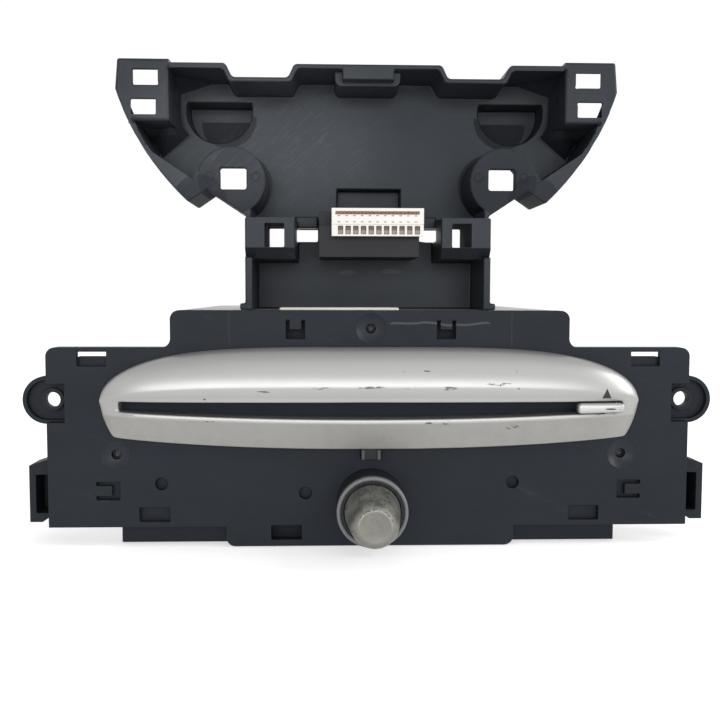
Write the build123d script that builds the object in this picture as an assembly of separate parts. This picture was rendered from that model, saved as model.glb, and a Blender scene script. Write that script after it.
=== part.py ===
from build123d import *
import math
import os

# Dashboard disc radio: moulded front carrier, slot trim, bracket tray, metal chassis and disc mechanism.
# Frame, in millimetres: X to the right as the driver sees it, Y into the dashboard, Z up. The origin lies on
# the underside, midway between the sides, in the plane where the two ears seat. Profiles drawn in the front
# view use X and Z.

# General fits
FIT = 0.08           # between a turning or sliding piece and what guides it, each side
GAP = 0.3            # between fixed pieces that only lie close
OVER = 1.0           # how far a cut passes what it opens, and a root runs into what carries it
SEAM = 0.01          # overlap of two forms that share one face
SCREW_RADIUS = 1.4
SCREW_PLAY = 0.15
SCREW_HEAD_RADIUS = 2.7
SCREW_HEAD_HEIGHT = 1.6

# Front carrier
CARRIER_WIDTH = 272.0
CARRIER_TOP = 84.8
CARRIER_SIDE_BOTTOM = 8.5
CARRIER_WALL = 2.6
CARRIER_SKIRT = 7.6
SKIRT_WALL = 2.0
CROWN_WIDTH = 168.4
CROWN_TOP = 100.4
FOOT_WIDTH = 122.6
CARRIER_CORNER = 3.8

# Ears, set back from the carrier's face and seated on the dashboard at their rear
EAR_SET_BACK = 8.0
EAR_THICKNESS = 3.0
EAR_HOLE_RADIUS = 3.2
EAR_HOLE_IN = 0.9
EAR_HEIGHT = 62.2
EAR_RADIUS = 10.2
EAR_OVERHANG = 2.1
EAR_RIM = 1.8
EAR_RIM_STAND = 3.0
EAR_RING_STAND = 1.5
NOTCH_DEPTH = 7.5
NOTCH_HEIGHT = 16.4
NOTCH_BELOW_EAR = 0.9

# Side clip boxes
CLIP_BOX_REACH = 10.8
CLIP_BOX_TOP = 37.0
CLIP_BOX_BOTTOM = 8.6
CLIP_BOX_SET_BACK = 9.5
CLIP_BOX_DEPTH = 14.0
CLIP_BOX_SLOPE = 3.7
CLIP_POCKET_SIDE_WALL = 2.9
CLIP_POCKET_END_WALL = 4.0
CLIP_POCKET_ROUND = 0.6

# Small features of the carrier's face, from the middle, the side edge, the top edge or the crown's edge
DIMPLE_RADIUS = 6.3
DIMPLE_DEPTH = 4.6
DIMPLE_WALL = 1.5
CROWN_DIMPLE_DOWN = 7.7
SIDE_DIMPLE_HEIGHT = 39.3
LATCH_IN = 25.2
LATCH_HEIGHT = 24.1
LATCH_WIDTH = 10.0
LATCH_TALL = 7.8
LATCH_SLIT = 1.7
CATCH_OUT = 31.8
CATCH_DOWN = 8.0
CATCH_SIZE = 8.0
CATCH_SLIT = 1.5
TOP_WINDOW_IN = 19.1
TOP_WINDOW_DOWN = 4.8
TOP_WINDOW_WIDTH = 12.2
TOP_WINDOW_TALL = 6.2
TOP_WINDOW_SHELF = 3.9
LOW_WINDOW_IN = 44.6
LOW_WINDOW_UP = 5.4
LOW_WINDOW_WIDTH = 12.9
LOW_WINDOW_TALL = 6.2
LOW_WINDOW_ROUND = 0.5
FOOT_WINDOW_LEFT = 35.8
FOOT_WINDOW_HEIGHT = 5.9
PEG_HOLE_RADIUS = 2.7
PEG_HOLE_SPOTS = ((-88.4, 27.1), (-27.7, 22.9), (60.6, 27.2))

# Slot trim: a lens whose outline is two superellipse halves about its waist
TRIM_WIDTH = 226.8
TRIM_TOP = 85.0
TRIM_BOTTOM = 42.4
TRIM_WAIST = 62.3
TRIM_BULGE = 14.0
TRIM_RIDGE = 69.6
TRIM_EDGE = 1.4
TRIM_WALL = 2.2
TRIM_BOW = 4.6
TRIM_LIP_BACK = 1.2
TRIM_TOP_POWER = 4.1
TRIM_CORNER_POWER = 16.0
TRIM_SWELL_POWER = 2.4
TRIM_SWELL_SHARE = 0.55
TRIM_END_POWER = 14.0
TRIM_END_ROUND = 0.42
TRIM_LIP_SHARE = 0.72
TRIM_UPPER_BEND = (0.62, 0.30)
TRIM_LOWER_BEND = (0.42, 0.36)
TRIM_REACH = 0.94
TRIM_STATIONS = 12

# Disc slot
DISC_RADIUS = 60.0
DISC_THICKNESS = 1.2
SLOT_TOP = 62.9
SLOT_SAG = 2.9
SLOT_END_HEIGHT = 4.4
SLOT_LEFT_MARGIN = 10.0
SLOT_RIGHT_MARGIN = 8.1
DISC_DROP = 3.3
DISC_PATH_TALL = 5.2
DISC_PATH_SPARE = 3.0
FELT_THICKNESS = 1.4
FELT_TALL = 4.0

# Eject button and its switch
BUTTON_LENGTH = 19.6
BUTTON_GAP = 0.5
BUTTON_TRAVEL = 1.0
BUTTON_RECESS = 1.4
STEM_SIZE = 3.0
SWITCH_SIZE = 6.0
SWITCH_BODY = 2.0
SWITCH_TIP = 1.0
SWITCH_TIP_RADIUS = 1.6

# Light guide above the knob
GUIDE_WIDTH = 8.0
GUIDE_TALL = 4.4
GUIDE_STAND = 4.0
GUIDE_LENGTH = 10.0
GUIDE_ROUND = 0.5
GUIDE_BAR_WIDTH = 1.3
GUIDE_BAR_SHORT = 0.4

# Volume knob
KNOB_HEIGHT = 18.8
COLLAR_RADIUS = 14.6
COLLAR_WALL = 2.0
COLLAR_LENGTH = 16.5
RING_WIDTH = 1.6
RING_LENGTH = 3.0
RING_EDGE = 0.8
RING_LIP = 0.5
RING_LAP = 0.2
KNOB_PLAY = 1.2
KNOB_TAPER = 2.0
KNOB_STAND = 43.5
KNOB_CLEARANCE = 2.0
KNOB_EDGE = 2.4
KNOB_WALL = 2.0
KNOB_TRAVEL = 0.8
SHAFT_RADIUS = 3.0
SHAFT_FLAT = 1.5
SHAFT_REACH = 10.0
ENCODER_SIZE = 12.0
ENCODER_DEPTH = 7.0
ENCODER_FLOOR = 2.5
BUSHING_RADIUS = 4.4
BUSHING_LENGTH = 5.0
SLIDER_LENGTH = 1.6
SLIDER_SPARE = 0.4

# Backing frame and front board
FRAME_SLOT_MARGIN = 1.7
FRAME_TOP_DOWN = 4.4
FRAME_SHOULDER_DOWN = 3.0
FRAME_WALL = 2.5
FRAME_DEPTH = 11.0
FRAME_SIDE_WALL = 2.0
FRAME_LUG_RADIUS = 6.5
FRAME_LUG_OUT = 0.6
CROWN_LUG_DOWN = 3.5
CARRIER_SCREW_REACH = 7.0
CARRIER_SCREW_SPARE = 2.0
BOARD_THICKNESS = 1.6
BOARD_GAP = 4.0

# Metal chassis
CHASSIS_WIDTH = 165.0
CHASSIS_TOP = 100.0
CHASSIS_DEPTH = 156.0
SHEET = 1.0
COVER_FLANGE = 12.0
COVER_SCREW_SHARES = (0.2, 0.85)
COVER_SCREW_REACH = 4.0
VENT_LENGTH = 22.0
VENT_WIDTH = 2.6
VENT_PITCH = 7.0
VENT_COUNT = 6
VENT_APART = 16.0
VENT_BEHIND_FLANGE = 8.0
SIDE_VENT_DOWN = 15.6
SIDE_VENT_TALL = 10.4
SINK_WIDTH = 62.0
SINK_TALL = 80.0
SINK_BASE = 4.0
SINK_DEPTH = 15.0
SINK_IN = 6.0
SINK_FINS = 9
SINK_FIN = 1.6

# Rear sockets
SOCKET_WIDTH = 52.0
SOCKET_TALL = 34.0
SOCKET_DEPTH = 14.0
SOCKET_WALL = 1.6
SOCKET_FLOOR = 2.0
SOCKET_BOTTOM = 44.0
SOCKET_IN = 12.0
SOCKET_LAP = 3.0
SOCKET_SPLIT = 0.58
KEY_WIDTH = 4.0
KEY_STAND = 2.0
KEY_IN = 8.0
KEY_SHORT = 3.0
PIN_COLUMNS = 4
PIN_ROW_SHARES = (0.32, 0.68)
PIN_SHORT = 4.0
POWER_PIN_WIDTH = 2.8
POWER_PIN_THICKNESS = 0.8
SIGNAL_PIN_SIZE = 1.0
AERIAL_RADIUS = 3.6
AERIAL_BODY = 12.0
AERIAL_DEPTH = 13.0
AERIAL_FLOOR = 2.0
AERIAL_HEIGHT = 26.0
AERIAL_SPACE = 8.0
AERIAL_KEY = 3.0
AERIAL_PIN_RADIUS = 0.7
AERIAL_PIN_LENGTH = 5.0

# Bracket tray above the chassis
TRAY_FRONT = 36.0
TRAY_DEPTH = 32.0
TRAY_WALL = 2.2
TRAY_FLOOR = 2.5
TRAY_ARC_RADIUS = 119.4
ARC_BELOW_WING = 32.0
TRAY_TOP = 210.4
RIM_NOTCH_DEPTH = 6.0
RIM_NOTCH_IN = 33.4
RIM_NOTCH_OUT = 64.1
RIM_NOTCH_SLOPE = 2.8
RIM_NOTCH_ROUND = 2.4
ARC_END_DOWN = 11.4
PAD_ABOVE_RIM = 1.8
PAD_TALL = 27.4
PAD_WIDTH = 22.9
PAD_EDGE_IN = 1.1
PAD_HOLE_WIDTH = 11.1
PAD_HOLE_TALL = 6.7
PAD_HOLES = ((12.6, 8.3), (11.5, 21.4))
PAD_LIP = 9.0
WING_TIP_HEIGHT = 148.6
WING_WIDTH = 8.4
WING_NOTCH_UP = 5.8
WING_RIDGE_UP = 16.6
WING_RIDGE_IN = 2.7
WING_BELOW_NOTCH = 8.0
WING_SEAM = 0.3
NECK_HALF = 55.4
NECK_BELOW_WING = 5.8
BOSS_OUT = 62.0
BOSS_ABOVE_NOTCH = 3.8
BOSS_RADIUS = 15.5
BOSS_LIP = 4.5
BOSS_HOLE_WIDTH = 12.0
BOSS_HOLE_TALL = 9.6
BOSS_HOLE_IN = 0.9
BOSS_HOLE_UP = 1.0
BOSS_HOLE_ROUND = 1.2
BOSS_FOOT_IN = 2.3
RIDGE_END = (6.4, 4.5)
SHOULDER_SHARES = (0.6, 0.8)
HOLE_ROUND = 0.6
POST_FRONT = 30.0
POST_DOWN = 1.4
POST_TALL = 18.6
POST_WIDTH = 22.6
POST_CHAMFER = 5.2
POST_HOLE_WIDTH = 9.0
POST_HOLE_TALL = 10.8
POST_HOLE_IN = 13.1
POST_HOLE_DOWN = 7.8
LEG_WALL = 3.3
FOOT_FLARE = 2.4
MOON_RADIUS = 15.8
MOON_BESIDE_PAD = 3.1
MOON_ABOVE_PAD_BOTTOM = 10.8
MOON_CUT = 3.5
MOON_DEPTH = 16.0
WINDOW_OUT = 28.4
WINDOW_WIDTH = 10.4
WINDOW_TALL = 5.8
WINDOW_HEIGHT = 135.5
WINDOW_REACH = 16.0
HOOK_HALF = 11.6
HOOK_TALL = 6.9
HOOK_ROOT_MARGIN = 3.2
HOOK_ROOT_BELOW = 1.5
HOOK_ROUND = 3.0
HOOK_STEP = 6.0
SHELF_WIDTH = 10.6
SHELF_TALL = 5.4
SHELF_STAND = 9.0
POCKET_LEFT = 13.9
POCKET_RIGHT = 17.0
POCKET_TALL = 9.0
POCKET_BOTTOM = 149.0
POCKET_DEPTH = 9.0
FLANGE_HALF = 50.0
FLANGE_DEPTH = 16.0
FLANGE_THICKNESS = 3.0
GUSSET_SPOTS = (-32.0, 0.0, 32.0)
GUSSET_TALL = 18.0
GUSSET_THICKNESS = 2.0
BRACKET_SCREW_SPOTS = (-42.0, -16.0, 16.0, 42.0)
BRACKET_SCREW_REACH = 6.0

# Connector in the bracket's neck
HOLDER_LEFT = 22.2
HOLDER_RIGHT = 22.9
HOLDER_BOTTOM = 123.8
HOLDER_TALL = 21.0
HOLDER_STEP_TALL = 7.0
HOLDER_STEP_DEPTH = 8.0
HOUSING_LEFT = 16.6
HOUSING_WIDTH = 41.0
HOUSING_UP = 9.2
HOUSING_TALL = 12.2
HOUSING_STAND = 6.0
HOUSING_STEP = 1.4
HOUSING_STEP_TALL = 5.1
CONTACT_COLUMNS = 11
CONTACT_MARGIN = 3.0
CONTACT_SIZE = 0.9
CONTACT_LENGTH = 3.0
CONTACT_DOWN = 1.6
CONTACT_WINDOW = 1.7
CONTACT_WINDOW_TALL = 2.0
CONTACT_WINDOW_UP = 3.9
GROOVE_UP = 6.3
GROOVE_TALL = 0.6
GROOVE_DEPTH = 1.2
PLUG_LEFT = 16.0
PLUG_RIGHT = 17.0
PLUG_UP = 3.2
PLUG_TALL = 15.0
PLUG_WALL = 2.0
PLUG_STAND = 8.0

# Disc mechanism
MECH_HALF = 72.0
MECH_SHEET = 1.2
MECH_BELOW_DISC = 25.6
MECH_ABOVE_DISC = 10.4
MECH_START = 22.0
MECH_END = 170.0
DAMPER_RADIUS = 5.0
DAMPER_UP = 8.0
DAMPER_FRONT = 62.0
DAMPER_BACK = 14.0
SPINDLE_BACK = 97.0
CLAMPED_DROP = 4.1
TURNTABLE_RADIUS = 15.0
TURNTABLE_THICKNESS = 3.0
HUB_RADIUS = 7.3
HUB_TALL = 2.4
HUB_BEVEL = 0.9
SPINDLE_RADIUS = 1.0
SPINDLE_FOOT = 3.0
SPINDLE_MOTOR_RADIUS = 12.0
SPINDLE_MOTOR_TALL = 10.0
ROLLER_RADIUS = 4.5
ROLLER_BACK = 30.0
ROLLER_HALF = 58.0
ROLLER_CORE = 1.5
ROLLER_END = 2.0
GEAR_MODULE = 0.8
GEAR_WIDTH = 4.0
GEAR_BESIDE = 2.2
GEAR_DEDENDUM = 1.25
GEAR_BACKLASH = 0.06
PRESSURE_ANGLE = 20.0
ROLLER_TEETH = 20
IDLER_TEETH = 30
PINION_TEETH = 12
MESH_SPARE = 0.12
STUD_END = 0.6
IDLER_DROP_ANGLE = 30.0
LOADING_MOTOR_RADIUS = 8.0
LOADING_MOTOR_LENGTH = 24.0
MOTOR_SHAFT_RADIUS = 1.0
ARM_HALF = 26.0
ARM_NOSE = 9.0
ARM_AHEAD = 8.0
ARM_THICKNESS = 1.5
ARM_ABOVE_DISC = 5.4
ARM_PIVOT_BACK = 163.0
ARM_LUG_BESIDE = 1.5
ARM_LUG_THICKNESS = 2.0
ARM_LUG_BELOW = 3.0
ARM_LUG_TALL = 7.0
ARM_WINDOW_SIDE = 6.0
ARM_WINDOW_AHEAD = 8.0
PIVOT_RADIUS = 1.5
KNUCKLE_WALL = 1.6
PIN_END = 4.0
PUCK_RADIUS = 12.0
PUCK_TALL = 4.0
PUCK_NECK = 3.0
PUCK_PLAY = 0.4
PUCK_BORE_PLAY = 1.2
PUCK_CAP_WIDTH = 2.0
PUCK_CAP_TALL = 1.1
SLED_START_RADIUS = 24.0
SLED_HALF_LENGTH = 9.0
SLED_HALF_WIDTH = 24.0
SLED_SHORT = 3.0
SLED_TALL = 9.0
SLED_BELOW = 3.5
ROD_UP = 8.5
ROD_RADIUS = 1.5
ROD_OUT = 14.0
ROD_BLOCK = 3.0
SCREW_OUT = 21.0
LEAD_RADIUS = 1.3
SLED_MOTOR_RADIUS = 5.5
SLED_MOTOR_LENGTH = 14.0
LENS_RADIUS = 2.6
LENS_TALL = 3.6
LENS_STAND = 0.6
LENS_EDGE = 0.5
LENS_PLAY = 1.2
LENS_WELL = 5.0

# Main board
MAIN_BOARD_HEIGHT = 10.0
MAIN_BOARD_MARGIN = 4.0
PILLAR_RADIUS = 3.0
PILLAR_SIDE_IN = 12.0
PILLAR_END_IN = 14.0
CHIP_WIDTH = 26.0
CHIP_THICKNESS = 4.5
CHIP_TALL = 18.0
CAN_RADIUS = 5.0
CAN_TALL = 16.0
CAN_PITCH = 13.0
CAN_COUNT = 4
CAN_IN = 24.5
CAN_BEHIND = 28.0
TUNER_IN = 16.5
TUNER_WIDTH = 46.0
TUNER_BACK = 40.0
TUNER_LENGTH = 42.0
TUNER_TALL = 12.0

# Places worked out from the sizes above
SCREW_HOLE_RADIUS = SCREW_RADIUS + SCREW_PLAY
FACE = -(EAR_SET_BACK + EAR_THICKNESS)
CARRIER_HALF = CARRIER_WIDTH / 2
EAR_HOLE_OUT = CARRIER_HALF - EAR_HOLE_IN
TRIM_HALF = TRIM_WIDTH / 2
SLOT_LEFT = TRIM_HALF - SLOT_LEFT_MARGIN
SLOT_RIGHT = TRIM_HALF - SLOT_RIGHT_MARGIN
BUTTON_RIGHT = SLOT_RIGHT - BUTTON_GAP
BUTTON_MIDDLE = BUTTON_RIGHT - BUTTON_LENGTH / 2
DISC_HEIGHT = SLOT_TOP - DISC_DROP
DISC_PATH_HALF = DISC_RADIUS + DISC_PATH_SPARE
FRAME_HALF = SLOT_RIGHT + FRAME_SLOT_MARGIN
FRAME_TOP = CROWN_TOP - FRAME_TOP_DOWN
FRAME_SHOULDER = CARRIER_TOP - SKIRT_WALL - FRAME_SHOULDER_DOWN
FRAME_FRONT = FACE + EAR_SET_BACK
FRAME_BACK = FRAME_FRONT + FRAME_DEPTH
BOARD_FRONT = FRAME_FRONT + FRAME_WALL + BOARD_GAP
SIDE_DIMPLE_OUT = FRAME_HALF + FRAME_LUG_OUT
CROWN_DIMPLE_HEIGHT = CROWN_TOP - CROWN_DIMPLE_DOWN
CATCH_HEIGHT = CROWN_TOP - CATCH_DOWN
LATCH_OUT = CARRIER_HALF - LATCH_IN
TOP_WINDOW_OUT = CARRIER_HALF - TOP_WINDOW_IN
TOP_WINDOW_HEIGHT = CARRIER_TOP - TOP_WINDOW_DOWN
LOW_WINDOW_OUT = CARRIER_HALF - LOW_WINDOW_IN
LOW_WINDOW_HEIGHT = CARRIER_SIDE_BOTTOM + LOW_WINDOW_UP
GUIDE_MIDDLE = TRIM_BOTTOM - GAP - GUIDE_TALL / 2
COLLAR_FRONT = FACE - COLLAR_LENGTH
COLLAR_BORE = COLLAR_RADIUS - COLLAR_WALL
RING_FRONT = COLLAR_FRONT - RING_LENGTH
KNOB_RADIUS = COLLAR_BORE - KNOB_PLAY
KNOB_FRONT = FACE - KNOB_STAND
ENCODER_FRONT = BOARD_FRONT - ENCODER_DEPTH
CHASSIS_HALF = CHASSIS_WIDTH / 2
CHASSIS_FRONT = FRAME_BACK
CHASSIS_BACK = CHASSIS_FRONT + CHASSIS_DEPTH
BOARD_TOP = MAIN_BOARD_HEIGHT + BOARD_THICKNESS
TRAY_FACE = FACE + TRAY_FRONT
TRAY_BED = TRAY_FACE + TRAY_DEPTH
TRAY_BACK = TRAY_BED + TRAY_FLOOR
POST_FACE = FACE + POST_FRONT
RIM_NOTCH_FLOOR = TRAY_TOP - RIM_NOTCH_DEPTH
TRAY_ARC_LOW = WING_TIP_HEIGHT - ARC_BELOW_WING
ARC_END_HEIGHT = TRAY_TOP - ARC_END_DOWN
PAD_TOP = TRAY_TOP + PAD_ABOVE_RIM
PAD_BOTTOM = PAD_TOP - PAD_TALL
MOON_HEIGHT = PAD_BOTTOM + MOON_ABOVE_PAD_BOTTOM
WING_NOTCH_HEIGHT = WING_TIP_HEIGHT + WING_NOTCH_UP
WING_RIDGE_HEIGHT = WING_NOTCH_HEIGHT + WING_RIDGE_UP
BOSS_HEIGHT = WING_NOTCH_HEIGHT + BOSS_ABOVE_NOTCH
NECK_TOP = WING_TIP_HEIGHT - NECK_BELOW_WING
POST_TOP = NECK_TOP - POST_DOWN
POST_BOTTOM = POST_TOP - POST_TALL
HOLDER_TOP = HOLDER_BOTTOM + HOLDER_TALL
HOUSING_FRONT = POST_FACE - HOUSING_STAND
HOUSING_BOTTOM = HOLDER_BOTTOM + HOUSING_UP
HOUSING_RIGHT = HOUSING_WIDTH - HOUSING_LEFT
CONTACT_HEIGHT = HOUSING_BOTTOM + HOUSING_TALL - CONTACT_DOWN
CONTACT_PITCH = (HOUSING_WIDTH - HOUSING_STEP - 2 * CONTACT_MARGIN) / (CONTACT_COLUMNS - 1)
PLUG_BOTTOM = HOLDER_BOTTOM + PLUG_UP
PLUG_TOP = PLUG_BOTTOM + PLUG_TALL
MECH_FLOOR = DISC_HEIGHT - MECH_BELOW_DISC
MECH_TOP = DISC_HEIGHT + MECH_ABOVE_DISC
MECH_FRONT = FACE + MECH_START
MECH_BACK = FACE + MECH_END
SPINDLE_Y = FACE + SPINDLE_BACK
ROLLER_Y = FACE + ROLLER_BACK
ROLLER_Z = DISC_HEIGHT - DISC_THICKNESS / 2 - ROLLER_RADIUS - FIT
GEAR_SIDE = -MECH_HALF - GEAR_BESIDE
ARM_HEIGHT = DISC_HEIGHT + ARM_ABOVE_DISC
ARM_PIVOT_Y = FACE + ARM_PIVOT_BACK
ARM_PIVOT_Z = ARM_HEIGHT + ARM_THICKNESS / 2
ROD_Z = MECH_FLOOR + ROD_UP
SLED_Y = SPINDLE_Y + SLED_START_RADIUS
ROD_FRONT = SLED_Y - SLED_HALF_LENGTH - 2 * GAP - ROD_BLOCK
ROD_BACK = MECH_BACK - MECH_SHEET - ROD_BLOCK


def box(x0, x1, y0, y1, z0, z1):
    """Return the block between two corners."""
    centre = Pos((x0 + x1) / 2, (y0 + y1) / 2, (z0 + z1) / 2)
    return centre * Box(abs(x1 - x0), abs(y1 - y0), abs(z1 - z0))


def rect(x0, x1, z0, z1, radius=0.0):
    """Return a rectangle in the front view, with round corners if a radius is given."""
    centre = Pos((x0 + x1) / 2, (z0 + z1) / 2)
    if radius > 0:
        return centre * RectangleRounded(abs(x1 - x0), abs(z1 - z0), radius)
    return centre * Rectangle(abs(x1 - x0), abs(z1 - z0))


def window(x, z, width, tall, radius=0.0):
    """Return a rectangle in the front view about its centre."""
    return rect(x - width / 2, x + width / 2, z - tall / 2, z + tall / 2, radius)


def disc(x, z, radius):
    """Return a round face in the front view."""
    return Pos(x, z) * Circle(radius)


def polygon(*points):
    """Return the face inside straight lines through the points."""
    return make_face(Polyline(*points, close=True))


def slab(profile, front, back):
    """Return a front view profile made solid between two depths."""
    return extrude(Plane.XZ.offset(-back) * profile, back - front)


def both_sides(shape):
    """Return a shape of the right side with its mirror image on the left."""
    return shape + mirror(shape, Plane.YZ)


def rod_x(y, z, radius, x0, x1):
    """Return a round bar along X."""
    return extrude(Plane.YZ.offset(min(x0, x1)) * Pos(y, z) * Circle(radius), abs(x1 - x0))


def rod_y(x, z, radius, y0, y1):
    """Return a round bar along Y."""
    return slab(disc(x, z, radius), y0, y1)


def rod_z(x, y, radius, z0, z1):
    """Return a round bar along Z."""
    return Pos(x, y, z0) * extrude(Circle(radius), z1 - z0)


def round_corners(sketch, x, z, radius):
    """Round the corners of a symmetric profile that lie at a distance from the middle and a height."""
    found = [v for v in sketch.vertices() if abs(abs(v.X) - x) < SEAM and abs(v.Y - z) < SEAM]
    return fillet(found, radius)


def foremost(part, front):
    """Return the edges of a solid that lie in its front plane."""
    return [edge for edge in part.edges() if edge.center().Y < front + SEAM]


def topmost(part, top):
    """Return the edges of a solid that lie in its top plane."""
    return [edge for edge in part.edges() if edge.center().Z > top - SEAM]


# Front carrier

def carrier_outline(inset):
    """Return the carrier's front view, with its edge moved inwards."""
    half = CARRIER_HALF - inset
    top = CARRIER_TOP - inset
    crown_half = CROWN_WIDTH / 2 - inset
    crown_top = CROWN_TOP - inset
    foot_half = FOOT_WIDTH / 2 - inset
    side_bottom = CARRIER_SIDE_BOTTOM + inset
    outline = rect(-half, half, side_bottom, top)
    outline += rect(-crown_half, crown_half, top - OVER, crown_top)
    outline += rect(-foot_half, foot_half, inset, side_bottom + OVER)
    outline = round_corners(outline, half, top, CARRIER_CORNER - inset / 2)
    outline = round_corners(outline, crown_half, top, CARRIER_CORNER + inset)
    outline = round_corners(outline, crown_half, crown_top, CARRIER_CORNER - inset)
    outline = round_corners(outline, foot_half, inset, CARRIER_CORNER - inset)
    notch_in = CARRIER_HALF - NOTCH_DEPTH - inset
    notch_tall = NOTCH_HEIGHT / 2 + inset
    middle = EAR_HEIGHT - NOTCH_BELOW_EAR
    for side in (-1, 1):
        edges = sorted((side * notch_in, side * (CARRIER_HALF + OVER)))
        outline -= rect(edges[0], edges[1], middle - notch_tall, middle + notch_tall)
    return outline


def slot_profile(clear):
    """Return the slot's front view: a straight top edge over a sagging lower edge, moved inwards."""
    low_end = SLOT_TOP - SLOT_END_HEIGHT + clear
    low_middle = low_end - SLOT_SAG
    top = SLOT_TOP - clear
    left = -SLOT_LEFT + clear
    right = SLOT_RIGHT - clear
    upper = Polyline((left, low_end), (left, top), (right, top), (right, low_end))
    lower = ThreePointArc((right, low_end), ((left + right) / 2, low_middle), (left, low_end))
    return make_face(upper + lower)


def ear():
    """Return the right ear: a dished tab with a raised rim and a raised ring round its hole."""
    root = CARRIER_HALF - NOTCH_DEPTH - SKIRT_WALL
    centre = EAR_HOLE_OUT + EAR_OVERHANG
    tab = disc(centre, EAR_HEIGHT, EAR_RADIUS)
    tab += rect(root, centre, EAR_HEIGHT - EAR_RADIUS, EAR_HEIGHT + EAR_RADIUS)
    inner = EAR_RADIUS - EAR_RIM
    dish = disc(centre, EAR_HEIGHT, inner)
    dish += rect(root - OVER, centre, EAR_HEIGHT - inner, EAR_HEIGHT + inner)
    rim_front = -EAR_THICKNESS - EAR_RIM_STAND
    body = slab(tab, -EAR_THICKNESS, 0) + slab(tab - dish, rim_front, -EAR_THICKNESS)
    ring_front = -EAR_THICKNESS - EAR_RING_STAND
    body += rod_y(EAR_HOLE_OUT, EAR_HEIGHT, EAR_HOLE_RADIUS + EAR_RIM, ring_front, -EAR_THICKNESS)
    wall = rect(root, root + SKIRT_WALL, EAR_HEIGHT - EAR_RADIUS, EAR_HEIGHT + EAR_RADIUS)
    body += slab(wall, FACE + CARRIER_WALL / 2, 0)
    return body - rod_y(EAR_HOLE_OUT, EAR_HEIGHT, EAR_HOLE_RADIUS, rim_front - OVER, OVER)


def clip_box():
    """Return the right clip box: a sloped block with a pocket open to the front."""
    inner = CARRIER_HALF - SKIRT_WALL
    outer = CARRIER_HALF + CLIP_BOX_REACH
    front = FACE + CLIP_BOX_SET_BACK
    back = front + CLIP_BOX_DEPTH
    foot = CLIP_BOX_BOTTOM + CLIP_BOX_SLOPE
    side = polygon(
        (inner, CLIP_BOX_TOP), (CARRIER_HALF, CLIP_BOX_TOP), (outer, CLIP_BOX_TOP - CLIP_BOX_SLOPE),
        (outer, CLIP_BOX_BOTTOM), (outer - CLIP_BOX_REACH / 2, CLIP_BOX_BOTTOM),
        (CARRIER_HALF, foot), (inner, foot))
    pocket = rect(CARRIER_HALF + SKIRT_WALL, outer - CLIP_POCKET_SIDE_WALL,
                  CLIP_BOX_BOTTOM + CLIP_POCKET_END_WALL,
                  CLIP_BOX_TOP - CLIP_BOX_SLOPE - CLIP_POCKET_END_WALL, CLIP_POCKET_ROUND)
    block = slab(side, front, back) - slab(pocket, front - OVER, back - SKIRT_WALL)
    wall = rect(inner, CARRIER_HALF, foot, CLIP_BOX_TOP)
    return block + slab(wall, FACE + CARRIER_WALL / 2, back)


def dimple(x, z):
    """Return the boss behind a dimple and the conical recess with its screw hole."""
    boss_body = rod_y(x, z, DIMPLE_RADIUS + DIMPLE_WALL, FACE + CARRIER_WALL / 2, FRAME_FRONT)
    seat = Plane((x, FACE, z), z_dir=(0, 1, 0))
    cone = Solid.make_cone(DIMPLE_RADIUS, SCREW_HEAD_RADIUS + GAP, DIMPLE_DEPTH, seat)
    return boss_body, cone + rod_y(x, z, SCREW_HOLE_RADIUS, FACE, FRAME_FRONT + OVER)


def carrier_screw_spots():
    """Return where the three carrier screws and their dimples stand."""
    sides = [(side * SIDE_DIMPLE_OUT, SIDE_DIMPLE_HEIGHT) for side in (-1, 1)]
    return [(0, CROWN_DIMPLE_HEIGHT)] + sides


def carrier_windows():
    """Return the front view of the carrier's see-through windows, peg holes, latches and catches."""
    cuts = slot_profile(-GAP) + window(0, GUIDE_MIDDLE, GUIDE_WIDTH + 2 * GAP, GUIDE_TALL + 2 * GAP)
    cuts += window(-FOOT_WINDOW_LEFT, FOOT_WINDOW_HEIGHT, LOW_WINDOW_WIDTH, LOW_WINDOW_TALL, LOW_WINDOW_ROUND)
    for x, z in PEG_HOLE_SPOTS:
        cuts += disc(x, z, PEG_HOLE_RADIUS)
    for side in (-1, 1):
        latch = window(side * LATCH_OUT, LATCH_HEIGHT, LATCH_WIDTH, LATCH_TALL)
        tongue_out = LATCH_OUT + 2 * LATCH_SLIT
        tongue = window(side * tongue_out, LATCH_HEIGHT, LATCH_WIDTH, LATCH_TALL - 2 * LATCH_SLIT)
        cuts += latch - tongue
        catch = window(side * CATCH_OUT, CATCH_HEIGHT, CATCH_SIZE, CATCH_SIZE)
        tongue = window(side * CATCH_OUT, CATCH_HEIGHT + CATCH_SIZE / 2, CATCH_SIZE - 2 * CATCH_SLIT, CATCH_SIZE)
        cuts += catch - tongue
        cuts += window(side * TOP_WINDOW_OUT, TOP_WINDOW_HEIGHT, TOP_WINDOW_WIDTH, TOP_WINDOW_TALL)
        cuts += window(side * LOW_WINDOW_OUT, LOW_WINDOW_HEIGHT,
                       LOW_WINDOW_WIDTH, LOW_WINDOW_TALL, LOW_WINDOW_ROUND)
    return cuts


def top_window_shelf():
    """Return the shelf behind the lower part of the right top window."""
    half = TOP_WINDOW_WIDTH / 2
    low = TOP_WINDOW_HEIGHT - TOP_WINDOW_TALL / 2
    shelf = rect(TOP_WINDOW_OUT - half, TOP_WINDOW_OUT + half, low - SKIRT_WALL, low + TOP_WINDOW_SHELF)
    return slab(shelf, FACE + CARRIER_WALL - SEAM, FACE + CARRIER_SKIRT)


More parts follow.
